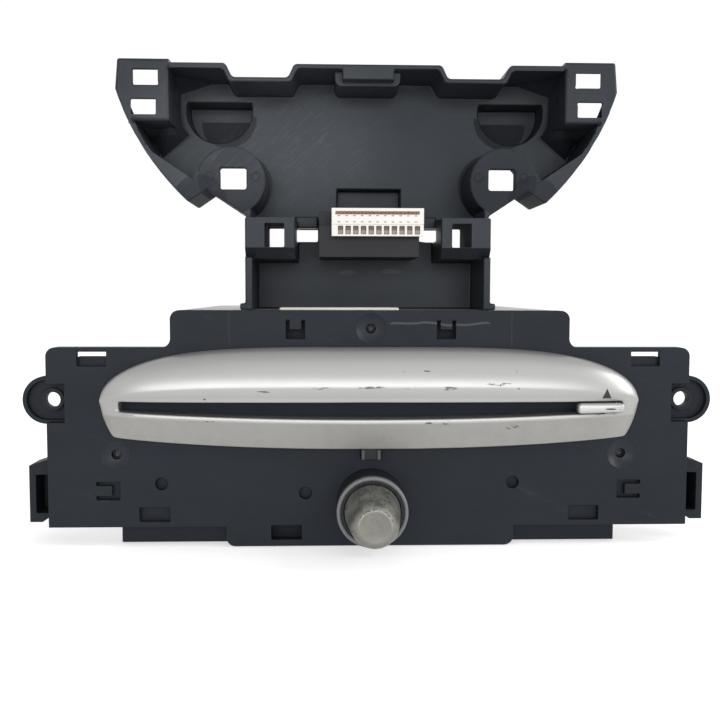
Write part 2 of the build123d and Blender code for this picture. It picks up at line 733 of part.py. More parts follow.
def front_carrier():
    """Return the moulded front plate with its skirt, collar, ears, clip boxes, windows and latches."""
    skirt_back = FACE + CARRIER_SKIRT
    body = slab(carrier_outline(0), FACE, skirt_back)
    body -= slab(carrier_outline(SKIRT_WALL), FACE + CARRIER_WALL, skirt_back + OVER)
    body += rod_y(0, KNOB_HEIGHT, COLLAR_RADIUS, COLLAR_FRONT, FACE + CARRIER_WALL)
    body += both_sides(ear())
    body += both_sides(clip_box())
    for x, z in carrier_screw_spots():
        boss_body, recess = dimple(x, z)
        body += boss_body
        body -= recess
    body -= slab(carrier_windows(), FACE - OVER, FACE + CARRIER_WALL + GAP)
    body -= rod_y(0, KNOB_HEIGHT, COLLAR_BORE, COLLAR_FRONT - OVER, FACE + CARRIER_WALL + OVER)
    return body + both_sides(top_window_shelf())


# Slot trim

def trim_top(share):
    """Return the height of the trim's upper edge at a share of its half width."""
    return TRIM_WAIST + (TRIM_TOP - TRIM_WAIST) * math.sqrt(1 - share ** TRIM_TOP_POWER)


def trim_bottom(share):
    """Return the height of the trim's lower edge: a shallow bow with a tighter corner at each end."""
    bow = TRIM_BOW * share ** 2
    corner = (TRIM_WAIST - TRIM_BOTTOM - bow) * (1 - math.sqrt(1 - share ** TRIM_CORNER_POWER))
    return TRIM_BOTTOM + bow + corner


def trim_swell(share):
    """Return how far the trim stands before its edge: fullest in the middle, rounded back at the ends."""
    swell = 1 - TRIM_SWELL_SHARE + TRIM_SWELL_SHARE * math.sqrt(1 - share ** TRIM_SWELL_POWER)
    return (TRIM_BULGE - TRIM_EDGE) * swell * (1 - share ** TRIM_END_POWER) ** TRIM_END_ROUND


def trim_section(x, inset):
    """Return the closed outline of the trim cut across at X, with its faces moved inwards."""
    share = abs(x) / TRIM_HALF
    top = trim_top(share) - inset
    low = trim_bottom(share) + inset
    ridge = TRIM_WAIST + (TRIM_RIDGE - TRIM_WAIST) * (top - TRIM_WAIST) / (TRIM_TOP - inset - TRIM_WAIST)
    edge = FACE - TRIM_EDGE + inset / 2
    depth = trim_swell(share) - inset / 2
    lip = low + (TRIM_WAIST - low) * TRIM_LIP_SHARE
    lip_front = edge - depth + TRIM_LIP_BACK * depth / (TRIM_BULGE - TRIM_EDGE)
    upper = (x, edge - depth * (1 - TRIM_UPPER_BEND[1]), ridge + (top - ridge) * TRIM_UPPER_BEND[0])
    lower = (x, edge - depth * (1 - TRIM_LOWER_BEND[1]), low + (lip - low) * TRIM_LOWER_BEND[0])
    path = Polyline((x, FACE + inset, low), (x, edge, low))
    path += ThreePointArc((x, edge, low), lower, (x, lip_front, lip))
    path += Line((x, lip_front, lip), (x, edge - depth, ridge))
    path += ThreePointArc((x, edge - depth, ridge), upper, (x, edge, top))
    path += Polyline((x, edge, top), (x, FACE + inset, top), (x, FACE + inset, low))
    return make_face(path)


def trim_shell(inset):
    """Return the trim's lens as one body through its cross sections, which stand closer towards the ends."""
    turns = [math.pi / 2 * TRIM_REACH * i / TRIM_STATIONS for i in range(-TRIM_STATIONS, TRIM_STATIONS + 1)]
    return loft([trim_section((TRIM_HALF - inset) * math.sin(turn), inset) for turn in turns], ruled=True)


def silver_trim():
    """Return the silver lens with the disc slot through it."""
    front = FACE - TRIM_BULGE - OVER
    cavity = trim_shell(TRIM_WALL) - slab(slot_profile(-TRIM_WALL), front, FACE + TRIM_WALL + OVER)
    return trim_shell(0) - cavity - slab(slot_profile(0), front, FACE + OVER)


def eject_button():
    """Return the eject button that fills the slot's right end, with its stem to the switch."""
    left = BUTTON_RIGHT - BUTTON_LENGTH
    end = rect(left, BUTTON_RIGHT, SLOT_TOP - SLOT_END_HEIGHT - SLOT_SAG - OVER, SLOT_TOP)
    face = slot_profile(BUTTON_GAP) & end
    button = slab(face, FACE - TRIM_BULGE + BUTTON_RECESS, FACE + CARRIER_WALL)
    stem_end = BOARD_FRONT - SWITCH_BODY - SWITCH_TIP - BUTTON_TRAVEL - FIT
    return button + slab(window(BUTTON_MIDDLE, DISC_HEIGHT, STEM_SIZE, STEM_SIZE), FACE, stem_end)


def eject_switch():
    """Return the small push switch behind the eject button."""
    front = BOARD_FRONT - SWITCH_BODY
    body = slab(window(BUTTON_MIDDLE, DISC_HEIGHT, SWITCH_SIZE, SWITCH_SIZE), front, BOARD_FRONT)
    return body + rod_y(BUTTON_MIDDLE, DISC_HEIGHT, SWITCH_TIP_RADIUS, front - SWITCH_TIP, front)


def slot_felts():
    """Return the upper and the lower dust felt on the backing frame."""
    front = FRAME_FRONT - FELT_THICKNESS
    top = DISC_HEIGHT + DISC_PATH_TALL / 2
    low = DISC_HEIGHT - DISC_PATH_TALL / 2
    upper = box(-DISC_PATH_HALF, DISC_PATH_HALF, front, FRAME_FRONT, top, top + FELT_TALL)
    lower = box(-DISC_PATH_HALF, DISC_PATH_HALF, front, FRAME_FRONT, low - FELT_TALL, low)
    return upper, lower


def light_guide():
    """Return the clear light guide: a tab with two bars at its front."""
    tab = window(0, GUIDE_MIDDLE, GUIDE_WIDTH, GUIDE_TALL, GUIDE_ROUND)
    guide = slab(tab, FACE - GUIDE_STAND / 2, FACE + GUIDE_LENGTH / 2)
    out = (GUIDE_WIDTH - GUIDE_BAR_WIDTH) / 2
    bar = window(out, GUIDE_MIDDLE, GUIDE_BAR_WIDTH, GUIDE_TALL - GUIDE_BAR_SHORT)
    return guide + both_sides(slab(bar, FACE - GUIDE_STAND, FACE))


def knob_ring():
    """Return the grey ring on the collar's front, with a lip that seats in the collar's bore."""
    inner = COLLAR_RADIUS - RING_WIDTH
    ring = rod_y(0, KNOB_HEIGHT, COLLAR_RADIUS, RING_FRONT, COLLAR_FRONT)
    ring = chamfer(foremost(ring, RING_FRONT), RING_EDGE)
    ring -= rod_y(0, KNOB_HEIGHT, inner, RING_FRONT - OVER, COLLAR_FRONT + OVER)
    seat = disc(0, KNOB_HEIGHT, inner + RING_LAP) - disc(0, KNOB_HEIGHT, COLLAR_BORE - RING_LIP)
    return ring + slab(seat, COLLAR_FRONT - RING_EDGE, COLLAR_FRONT)


def volume_knob():
    """Return the tapered knob, hollow behind, with a hub for the shaft."""
    back = FACE - KNOB_CLEARANCE
    nose = Plane((0, KNOB_FRONT, KNOB_HEIGHT), z_dir=(0, 1, 0))
    low_end = (Align.CENTER, Align.CENTER, Align.MIN)
    tip = nose * Cone(KNOB_RADIUS - KNOB_TAPER, KNOB_RADIUS, RING_FRONT - KNOB_FRONT, align=low_end)
    tip = fillet(foremost(tip, KNOB_FRONT), KNOB_EDGE)
    skirt = rod_y(0, KNOB_HEIGHT, KNOB_RADIUS, RING_FRONT, back)
    skirt -= rod_y(0, KNOB_HEIGHT, KNOB_RADIUS - KNOB_WALL, RING_FRONT, back)
    hub = rod_y(0, KNOB_HEIGHT, SHAFT_RADIUS + KNOB_WALL, RING_FRONT, back)
    return tip + skirt + hub - shaft_bar(FIT / 2, COLLAR_FRONT - SHAFT_REACH, back + OVER)


def shaft_bar(grow, front, back):
    """Return the encoder's shaft with its flat, a little larger where a bore is cut."""
    wide = 2 * SHAFT_RADIUS
    flat = rect(-wide, wide, KNOB_HEIGHT + SHAFT_FLAT + grow, KNOB_HEIGHT + wide)
    return slab(disc(0, KNOB_HEIGHT, SHAFT_RADIUS + grow) - flat, front, back)


def encoder():
    """Return the encoder's body, the slider of its push switch, and its shaft."""
    half = ENCODER_SIZE / 2
    nose = ENCODER_FRONT - BUSHING_LENGTH
    floor = BOARD_FRONT - ENCODER_FLOOR
    body = box(-half, half, ENCODER_FRONT, BOARD_FRONT, KNOB_HEIGHT - half, KNOB_HEIGHT + half)
    body += rod_y(0, KNOB_HEIGHT, BUSHING_RADIUS, nose, ENCODER_FRONT)
    body -= rod_y(0, KNOB_HEIGHT, SHAFT_RADIUS + FIT, nose - OVER, floor)
    slider_back = floor - KNOB_TRAVEL - SLIDER_SPARE
    slider_front = slider_back - SLIDER_LENGTH
    slider = rod_y(0, KNOB_HEIGHT, SHAFT_RADIUS, slider_front, slider_back)
    shaft = rod_y(0, KNOB_HEIGHT, SHAFT_RADIUS, nose - OVER, slider_front)
    shaft += shaft_bar(0, COLLAR_FRONT - SHAFT_REACH + FIT, nose - OVER)
    return body, slider, shaft


# Backing frame and front board

def frame_outline(inset):
    """Return the backing frame's front view, with its edge moved inwards."""
    crown_half = CROWN_WIDTH / 2 - SKIRT_WALL - GAP - inset
    outline = rect(-FRAME_HALF + inset, FRAME_HALF - inset, inset, FRAME_SHOULDER - inset)
    return outline + rect(-crown_half, crown_half, FRAME_SHOULDER - inset - OVER, FRAME_TOP - inset)


def backing_frame():
    """Return the frame behind the carrier: a plate with a rim, lugs for the screws and the slot's window."""
    body = slab(frame_outline(0), FRAME_FRONT, FRAME_BACK)
    body -= slab(frame_outline(FRAME_SIDE_WALL), FRAME_FRONT + FRAME_WALL, FRAME_BACK + OVER)
    for side in (-1, 1):
        body += rod_y(side * SIDE_DIMPLE_OUT, SIDE_DIMPLE_HEIGHT, FRAME_LUG_RADIUS, FRAME_FRONT, FRAME_BACK)
    body += rod_y(0, CROWN_DIMPLE_HEIGHT - CROWN_LUG_DOWN, FRAME_LUG_RADIUS, FRAME_FRONT, BOARD_FRONT)
    cuts = window(0, DISC_HEIGHT, 2 * DISC_PATH_HALF, DISC_PATH_TALL)
    cuts += window(BUTTON_MIDDLE, DISC_HEIGHT, STEM_SIZE + 4 * GAP, STEM_SIZE + 4 * GAP)
    cuts += window(0, KNOB_HEIGHT, ENCODER_SIZE + 2 * GAP, ENCODER_SIZE + 2 * GAP)
    body -= slab(cuts, FRAME_FRONT - OVER, FRAME_FRONT + FRAME_WALL + OVER)
    hole_end = FRAME_FRONT + CARRIER_SCREW_REACH + CARRIER_SCREW_SPARE
    for x, z in carrier_screw_spots():
        body -= rod_y(x, z, SCREW_HOLE_RADIUS, FRAME_FRONT - OVER, hole_end)
    return body


def carrier_screws():
    """Return the three screws in the dimples."""
    head_back = FACE + DIMPLE_DEPTH
    head_front = head_back - SCREW_HEAD_HEIGHT
    screws = []
    for x, z in carrier_screw_spots():
        head = rod_y(x, z, SCREW_HEAD_RADIUS, head_front, head_back)
        screws.append(head + rod_y(x, z, SCREW_RADIUS, head_front, FRAME_FRONT + CARRIER_SCREW_REACH))
    return Compound(children=screws)


def front_board():
    """Return the circuit board behind the carrier, with a window for the disc."""
    half = FRAME_HALF - FRAME_SIDE_WALL - GAP
    low = FRAME_SIDE_WALL + GAP
    clear = FRAME_LUG_RADIUS + GAP
    outline = rect(-half, half, low, FRAME_SHOULDER - low)
    outline -= window(0, DISC_HEIGHT, 2 * DISC_PATH_HALF, 2 * DISC_PATH_TALL)
    lug = disc(SIDE_DIMPLE_OUT, SIDE_DIMPLE_HEIGHT, clear)
    lug += rect(SIDE_DIMPLE_OUT, half + OVER, SIDE_DIMPLE_HEIGHT - clear, SIDE_DIMPLE_HEIGHT + clear)
    return slab(outline - whole(lug), BOARD_FRONT, BOARD_FRONT + BOARD_THICKNESS)


# Bracket tray

def arc_x(z):
    """Return how far the tray's outer arc lies from the middle at a height."""
    return math.sqrt(TRAY_ARC_RADIUS ** 2 - (TRAY_ARC_LOW + TRAY_ARC_RADIUS - z) ** 2)


def pad_outer():
    """Return how far a pad's outer edge lies from the middle."""
    return arc_x(ARC_END_HEIGHT) - PAD_EDGE_IN


def wing_notch():
    """Return the corner between the wing and the boss flank, on the right side."""
    return arc_x(WING_TIP_HEIGHT) - WING_WIDTH, WING_NOTCH_HEIGHT


def tray_outline():
    """Return the right half of the tray's front view without rounding: a piece of a disc with a neck below it."""
    inner, outer = pad_outer() - PAD_WIDTH, pad_outer()
    top = [(0, TRAY_TOP), (RIM_NOTCH_IN, TRAY_TOP), (RIM_NOTCH_IN + RIM_NOTCH_SLOPE, RIM_NOTCH_FLOOR)]
    top += [(RIM_NOTCH_OUT - RIM_NOTCH_SLOPE, RIM_NOTCH_FLOOR), (RIM_NOTCH_OUT, TRAY_TOP)]
    top += [(inner, TRAY_TOP), (inner, PAD_TOP), (outer, PAD_TOP)]
    low_end = (arc_x(WING_TIP_HEIGHT), WING_TIP_HEIGHT)
    high_end = (arc_x(ARC_END_HEIGHT), ARC_END_HEIGHT)
    middle_height = (ARC_END_HEIGHT + WING_TIP_HEIGHT) / 2
    side = Polyline(*top, high_end)
    side += ThreePointArc(high_end, (arc_x(middle_height), middle_height), low_end)
    neck = [(NECK_HALF, NECK_TOP), (NECK_HALF, CHASSIS_TOP), (0, CHASSIS_TOP), (0, TRAY_TOP)]
    side += Polyline(low_end, wing_notch(), *neck)
    return make_face(side)


def whole(sketch):
    """Return a right half profile joined with its mirror image."""
    return sketch + mirror(sketch, Plane.YZ)


def soften(sketch, inset):
    """Round the corners of the two notches in the tray's upper rim."""
    low = RIM_NOTCH_FLOOR - inset - SEAM
    high = TRAY_TOP - inset + SEAM
    inner = RIM_NOTCH_IN - 2 * TRAY_WALL
    outer = RIM_NOTCH_OUT + 2 * TRAY_WALL
    return fillet([v for v in sketch.vertices() if low < v.Y < high and inner < abs(v.X) < outer], RIM_NOTCH_ROUND)


def boss_flank():
    """Return the right side's flank, which joins a boss to the ridge and to the neck."""
    notch_x, notch_z = wing_notch()
    foot = NECK_HALF - BOSS_FOOT_IN
    ridge_end = (notch_x + RIDGE_END[0], notch_z + RIDGE_END[1])
    shoulder = (BOSS_OUT + BOSS_RADIUS * SHOULDER_SHARES[0], BOSS_HEIGHT + BOSS_RADIUS * SHOULDER_SHARES[1])
    return polygon((foot, BOSS_HEIGHT), (foot, POST_TOP - OVER), (NECK_HALF, NECK_TOP), (notch_x, notch_z),
                   ridge_end, shoulder)


def wing_region():
    """Return the triangular wing under the tray's ridge, on the right side."""
    notch_x, notch_z = wing_notch()
    ridge = (arc_x(WING_RIDGE_HEIGHT) - WING_RIDGE_IN, WING_RIDGE_HEIGHT)
    low = notch_z - WING_BELOW_NOTCH
    return polygon(ridge, (notch_x + WING_SEAM, notch_z + WING_SEAM), (notch_x, low), (TRAY_ARC_RADIUS, low),
                   (TRAY_ARC_RADIUS, WING_RIDGE_HEIGHT))


def raised(region, hollow, lip):
    """Return a box that stands from the tray's bed to its face, open behind, and the cut it needs in the bed."""
    shell = slab(region, TRAY_FACE, TRAY_BACK)
    return shell - slab(hollow, TRAY_FACE + lip, TRAY_BACK + OVER), slab(hollow, TRAY_BED - OVER, TRAY_BACK + OVER)


def inside(region):
    """Return a straight-sided region moved inwards by the tray's wall."""
    return offset(region, -TRAY_WALL, kind=Kind.INTERSECTION)


def boss(half):
    """Return the right boss with its flank, kept inside the tray's outline, and the cut it needs in the bed."""
    region = (disc(BOSS_OUT, BOSS_HEIGHT, BOSS_RADIUS) + boss_flank()) & half
    hollow = (disc(BOSS_OUT, BOSS_HEIGHT, BOSS_RADIUS - TRAY_WALL) + inside(boss_flank())) & inside(half)
    return raised(region, hollow, BOSS_LIP)


def pad(half):
    """Return the right pad at the tray's upper corner, and the cut it needs in the bed."""
    region = half & rect(pad_outer() - PAD_WIDTH, TRAY_ARC_RADIUS, PAD_BOTTOM, PAD_TOP)
    return raised(region, inside(region), PAD_LIP)


def wing(half):
    """Return the right wing, and the cut it needs in the bed."""
    region = half & wing_region()
    return raised(region, inside(region), TRAY_WALL)


def upper_bracket():
    """Return the tray that stands behind the carrier, with pads, wings, bosses, posts and legs."""
    half = tray_outline()
    sharp = whole(half)
    inner = soften(offset(sharp, -TRAY_WALL, kind=Kind.INTERSECTION), TRAY_WALL)
    inner += rect(-NECK_HALF + LEG_WALL, NECK_HALF - LEG_WALL, CHASSIS_TOP - OVER, POST_BOTTOM)
    body = slab(soften(sharp, 0.0), TRAY_FACE, TRAY_BACK) - slab(inner, TRAY_FACE - OVER, TRAY_BED)
    for stand, clear in (pad(half), wing(half), boss(half)):
        body -= both_sides(clear)
        body += both_sides(stand)
    body += both_sides(neck_side())
    body -= both_sides(tray_holes())
    body += both_sides(moon_cup())
    body -= both_sides(slab(moon(0), TRAY_BED - OVER, TRAY_BED + MOON_DEPTH))
    body += top_block() + rear_flange() + both_sides(neck_shelf())
    cup, pocket = neck_pocket()
    return body + cup - pocket - neck_openings()


def neck_side():
    """Return the right post with its chamfered underside, and the leg below it."""
    inner = NECK_HALF - POST_WIDTH
    post = box(inner, NECK_HALF, POST_FACE, TRAY_BACK, POST_BOTTOM, POST_TOP)
    lower = [edge for edge in foremost(post, POST_FACE) if edge.center().Z < POST_BOTTOM + SEAM]
    post = chamfer(lower, POST_CHAMFER)
    leg = box(NECK_HALF - LEG_WALL, NECK_HALF, POST_FACE, TRAY_BACK, CHASSIS_TOP, POST_BOTTOM + OVER)
    foot = box(NECK_HALF - OVER, NECK_HALF + FOOT_FLARE, POST_FACE, TRAY_BACK,
               CHASSIS_TOP, CHASSIS_TOP + FLANGE_THICKNESS)
    return post + leg + foot


def tray_holes():
    """Return the see-through holes of the right pad, boss and post."""
    holes = window(BOSS_OUT - BOSS_HOLE_IN, BOSS_HEIGHT + BOSS_HOLE_UP,
                   BOSS_HOLE_WIDTH, BOSS_HOLE_TALL, BOSS_HOLE_ROUND)
    holes += window(NECK_HALF - POST_HOLE_IN, POST_TOP - POST_HOLE_DOWN,
                    POST_HOLE_WIDTH, POST_HOLE_TALL, HOLE_ROUND)
    for inset, down in PAD_HOLES:
        holes += window(pad_outer() - inset, PAD_TOP - down, PAD_HOLE_WIDTH, PAD_HOLE_TALL, HOLE_ROUND)
    return slab(holes, POST_FACE - OVER, TRAY_BACK + OVER)


def moon(grow):
    """Return the half-moon outline on the right side, beside the pad."""
    middle = pad_outer() - PAD_WIDTH - MOON_BESIDE_PAD - MOON_RADIUS
    wide = 2 * MOON_RADIUS
    cut = rect(middle - wide, middle + wide, MOON_HEIGHT + MOON_CUT + grow, MOON_HEIGHT + wide)
    return disc(middle, MOON_HEIGHT, MOON_RADIUS + grow) - cut


def moon_cup():
    """Return the cup behind a half-moon recess."""
    return slab(moon(TRAY_WALL), TRAY_BED + TRAY_FLOOR / 2, TRAY_BED + MOON_DEPTH + TRAY_WALL)


def top_block():
    """Return the hooked block in the middle of the tray's upper rim."""
    face = rect(-HOOK_HALF, HOOK_HALF, TRAY_TOP - HOOK_TALL, TRAY_TOP)
    half = HOOK_HALF + HOOK_ROOT_MARGIN
    root = rect(-half, half, TRAY_TOP - HOOK_TALL - HOOK_ROOT_BELOW, TRAY_TOP, HOOK_ROUND)
    root += rect(-half, half, TRAY_TOP - HOOK_ROUND - OVER, TRAY_TOP)
    return slab(face, TRAY_FACE, TRAY_BED) + slab(root, TRAY_FACE + HOOK_STEP, TRAY_BED)


def rear_flange():
    """Return the flange on the chassis behind the neck, with its gussets."""
    root = TRAY_BACK - OVER
    back = TRAY_BACK + FLANGE_DEPTH
    flange = box(-FLANGE_HALF, FLANGE_HALF, root, back, CHASSIS_TOP, CHASSIS_TOP + FLANGE_THICKNESS)
    low = CHASSIS_TOP + FLANGE_THICKNESS / 2
    web = polygon((root, low), (back - FLANGE_THICKNESS, low), (root, CHASSIS_TOP + GUSSET_TALL))
    for x in GUSSET_SPOTS:
        flange += extrude(Plane.YZ.offset(x - GUSSET_THICKNESS / 2) * web, GUSSET_THICKNESS)
    for x, y in bracket_screw_spots():
        flange -= rod_z(x, y, SCREW_HOLE_RADIUS, CHASSIS_TOP - OVER, CHASSIS_TOP + FLANGE_THICKNESS + OVER)
    return flange


def bracket_screw_spots():
    """Return where the bracket's screws stand on the chassis cover."""
    return [(x, TRAY_BACK + FLANGE_DEPTH / 2) for x in BRACKET_SCREW_SPOTS]


def bracket_screws():
    """Return the screws that hold the bracket's flange on the cover."""
    seat = CHASSIS_TOP + FLANGE_THICKNESS
    screws = []
    for x, y in bracket_screw_spots():
        head = rod_z(x, y, SCREW_HEAD_RADIUS, seat, seat + SCREW_HEAD_HEIGHT)
        screws.append(head + rod_z(x, y, SCREW_RADIUS, seat - BRACKET_SCREW_REACH, seat + SCREW_HEAD_HEIGHT / 2))
    return Compound(children=screws)


def neck_openings():
    """Return the clip windows and the wire window of the neck's bed."""
    cut = box(-PLUG_LEFT - GAP, PLUG_RIGHT + GAP, TRAY_BED - OVER, TRAY_BACK + OVER,
              PLUG_BOTTOM - GAP, PLUG_TOP + GAP)
    low = WINDOW_HEIGHT - WINDOW_TALL / 2
    inner = WINDOW_OUT - WINDOW_WIDTH / 2
    outer = NECK_HALF - POST_HOLE_IN - OVER
    return cut + both_sides(box(inner, outer, TRAY_BED - WINDOW_REACH, TRAY_BACK + OVER, low, low + WINDOW_TALL))


def neck_shelf():
    """Return the shelf over the right clip window."""
    inner = WINDOW_OUT - SHELF_WIDTH / 2
    low = WINDOW_HEIGHT + WINDOW_TALL / 2 + GAP
    return box(inner, inner + SHELF_WIDTH, TRAY_BED - SHELF_STAND, TRAY_BED + OVER, low, low + SHELF_TALL)


def neck_pocket():
    """Return the cup of the blind pocket above the socket, and the pocket itself."""
    back = TRAY_BED + POCKET_DEPTH
    top = POCKET_BOTTOM + POCKET_TALL
    pocket = box(-POCKET_LEFT, POCKET_RIGHT, TRAY_BED - OVER, back, POCKET_BOTTOM, top)
    cup = box(-POCKET_LEFT - TRAY_WALL, POCKET_RIGHT + TRAY_WALL, TRAY_BED + TRAY_FLOOR / 2, back + TRAY_WALL,
              POCKET_BOTTOM - TRAY_WALL, top + TRAY_WALL)
    return cup, pocket


# Connector in the bracket's neck

def connector_holder():
    """Return the black holder of the socket, with the plug body behind the tray."""
    back = TRAY_BACK + PLUG_STAND
    body = box(-HOLDER_LEFT, HOLDER_RIGHT, POST_FACE, TRAY_BED, HOLDER_BOTTOM, HOLDER_TOP)
    body -= box(-HOLDER_LEFT - OVER, -HOUSING_LEFT, POST_FACE - OVER, POST_FACE + HOLDER_STEP_DEPTH,
                HOLDER_TOP - HOLDER_STEP_TALL, HOLDER_TOP + OVER)
    body += box(-PLUG_LEFT, PLUG_RIGHT, TRAY_BED - OVER, back, PLUG_BOTTOM, PLUG_TOP)
    return body - box(-PLUG_LEFT + PLUG_WALL, PLUG_RIGHT - PLUG_WALL, TRAY_BACK + PLUG_WALL, back + OVER,
                      PLUG_BOTTOM + PLUG_WALL, PLUG_TOP - PLUG_WALL)


def connector_housing():
    """Return the white housing with a row of square windows and a row of contacts above them."""
    front = HOUSING_FRONT - OVER
    groove = HOUSING_BOTTOM + GROOVE_UP
    body = box(-HOUSING_LEFT, HOUSING_RIGHT, HOUSING_FRONT, POST_FACE,
               HOUSING_BOTTOM, HOUSING_BOTTOM + HOUSING_TALL)
    body -= box(HOUSING_RIGHT - HOUSING_STEP, HOUSING_RIGHT + OVER, front, POST_FACE + OVER,
                HOUSING_BOTTOM - OVER, HOUSING_BOTTOM + HOUSING_STEP_TALL)
    body -= box(-HOUSING_LEFT - OVER, HOUSING_RIGHT + OVER, front, HOUSING_FRONT + GROOVE_DEPTH,
                groove, groove + GROOVE_TALL)
    cuts = Sketch()
    for x in contact_columns():
        cuts += window(x, HOUSING_BOTTOM + CONTACT_WINDOW_UP, CONTACT_WINDOW, CONTACT_WINDOW_TALL)
    for x in contact_spots():
        cuts += window(x, CONTACT_HEIGHT, CONTACT_SIZE, CONTACT_SIZE)
    return body - slab(cuts, front, HOUSING_FRONT + CONTACT_LENGTH)


def contact_columns():
    """Return the X places of the contact columns, centred in the housing."""
    first = -HOUSING_LEFT + CONTACT_MARGIN
    return [first + i * CONTACT_PITCH for i in range(CONTACT_COLUMNS)]


def contact_spots():
    """Return the X places of the contacts, two to a column."""
    return [x + shift for x in contact_columns() for shift in (-CONTACT_PITCH / 4, CONTACT_PITCH / 4)]


def connector_contacts():
    """Return the copper contacts, two to a column, in their holes."""
    back = HOUSING_FRONT + CONTACT_LENGTH
    ends = [window(x, CONTACT_HEIGHT, CONTACT_SIZE, CONTACT_SIZE) for x in contact_spots()]
    return Compound(children=[slab(end, HOUSING_FRONT, back) for end in ends])


# Chassis

def chassis_tray():
    """Return the folded steel tray: floor, sides, front wall with the disc's window, and rear wall."""
    tray = box(-CHASSIS_HALF, CHASSIS_HALF, CHASSIS_FRONT, CHASSIS_BACK, 0, CHASSIS_TOP - SHEET)
    tray -= box(-CHASSIS_HALF + SHEET, CHASSIS_HALF - SHEET, CHASSIS_FRONT + SHEET, CHASSIS_BACK - SHEET,
                SHEET, CHASSIS_TOP)
    disc_window = window(0, DISC_HEIGHT, 2 * DISC_PATH_HALF, 2 * DISC_PATH_TALL)
    tray -= slab(disc_window, CHASSIS_FRONT - OVER, CHASSIS_FRONT + SHEET + OVER)
    left, right, low, top = socket_places()
    rear_cuts = rect(left + SOCKET_LAP, right - SOCKET_LAP, low + SOCKET_LAP, top - SOCKET_LAP)
    for x, z in aerial_spots():
        rear_cuts += disc(x, z, AERIAL_RADIUS - OVER)
    tray -= slab(rear_cuts, CHASSIS_BACK - SHEET - OVER, CHASSIS_BACK + OVER)
    low = CHASSIS_TOP - SIDE_VENT_DOWN - SIDE_VENT_TALL
    for i in range(VENT_COUNT):
        y = CHASSIS_FRONT + CHASSIS_DEPTH / 2 + (i - (VENT_COUNT - 1) / 2) * VENT_PITCH
        tray -= box(-CHASSIS_HALF - OVER, CHASSIS_HALF + OVER, y - VENT_WIDTH / 2, y + VENT_WIDTH / 2,
                    low, low + SIDE_VENT_TALL)
    return tray - cover_screw_holes()


def cover_screw_spots():
    """Return the side, Y and Z of the screws through the cover's side flanges."""
    z = CHASSIS_TOP - COVER_FLANGE / 2
    return [(s, CHASSIS_FRONT + CHASSIS_DEPTH * share, z) for s in (-1, 1) for share in COVER_SCREW_SHARES]


def cover_screw_holes():
    """Return the holes of the cover's screws."""
    seat = CHASSIS_HALF + SHEET + FIT
    holes = Part()
    for side, y, z in cover_screw_spots():
        holes += rod_x(y, z, SCREW_HOLE_RADIUS, side * (seat - COVER_SCREW_REACH), side * (seat + OVER))
    return holes


def chassis_cover():
    """Return the lid with side flanges and two rows of vents."""
    outer = CHASSIS_HALF + FIT + SHEET
    low = CHASSIS_TOP - COVER_FLANGE
    lid = box(-outer, outer, CHASSIS_FRONT, CHASSIS_BACK, low, CHASSIS_TOP)
    lid -= box(-outer + SHEET, outer - SHEET, CHASSIS_FRONT - OVER, CHASSIS_BACK + OVER,
               low - OVER, CHASSIS_TOP - SHEET)
    start = TRAY_BACK + FLANGE_DEPTH + VENT_BEHIND_FLANGE
    inner = VENT_APART / 2
    for i in range(VENT_COUNT):
        y = start + i * VENT_PITCH
        lid -= both_sides(box(inner, inner + VENT_LENGTH, y, y + VENT_WIDTH,
                              CHASSIS_TOP - SHEET - OVER, CHASSIS_TOP + OVER))
    for x, y in bracket_screw_spots():
        lid -= rod_z(x, y, SCREW_HOLE_RADIUS, CHASSIS_TOP - SHEET - OVER, CHASSIS_TOP + OVER)
    return lid - cover_screw_holes()


def cover_screws():
    """Return the screws of the cover's side flanges."""
    seat = CHASSIS_HALF + SHEET + FIT
    screws = []
    for side, y, z in cover_screw_spots():
        head = rod_x(y, z, SCREW_HEAD_RADIUS, side * seat, side * (seat + SCREW_HEAD_HEIGHT))
        screws.append(head + rod_x(y, z, SCREW_RADIUS, side * (seat - COVER_SCREW_REACH), side * seat))
    return Compound(children=screws)


def heat_sink():
    """Return the finned heat sink on the rear wall."""
    right = CHASSIS_HALF - SINK_IN
    left = right - SINK_WIDTH
    low = (CHASSIS_TOP - SINK_TALL) / 2
    sink = box(left, right, CHASSIS_BACK, CHASSIS_BACK + SINK_BASE, low, low + SINK_TALL)
    pitch = (SINK_WIDTH - SINK_FIN) / (SINK_FINS - 1)
    for i in range(SINK_FINS):
        x = left + i * pitch
        sink += box(x, x + SINK_FIN, CHASSIS_BACK, CHASSIS_BACK + SINK_DEPTH, low, low + SINK_TALL)
    return sink


# Rear sockets

def socket_places():
    """Return the rear socket's left, right, bottom and top."""
    left = -CHASSIS_HALF + SOCKET_IN
    return left, left + SOCKET_WIDTH, SOCKET_BOTTOM, SOCKET_BOTTOM + SOCKET_TALL


def socket_bridge():
    """Return the left side of the wall between the rear socket's two chambers."""
    return -CHASSIS_HALF + SOCKET_IN + SOCKET_WIDTH * SOCKET_SPLIT


def rear_connector():
    """Return the rear socket: an open shell with a bridge and two keys."""
    left, right, low, top = socket_places()
    front = CHASSIS_BACK + SOCKET_FLOOR
    back = CHASSIS_BACK + SOCKET_DEPTH
    body = box(left, right, CHASSIS_BACK, back, low, top)
    for x0, x1 in ((left + SOCKET_WALL, socket_bridge()), (socket_bridge() + SOCKET_WALL, right - SOCKET_WALL)):
        body -= box(x0, x1, front, back + OVER, low + SOCKET_WALL, top - SOCKET_WALL)
    for x in (left + KEY_IN, right - KEY_IN):
        key = rect(x - KEY_WIDTH / 2, x + KEY_WIDTH / 2, top - OVER, top + KEY_STAND)
        body += slab(key, CHASSIS_BACK, back - KEY_SHORT)
    return body


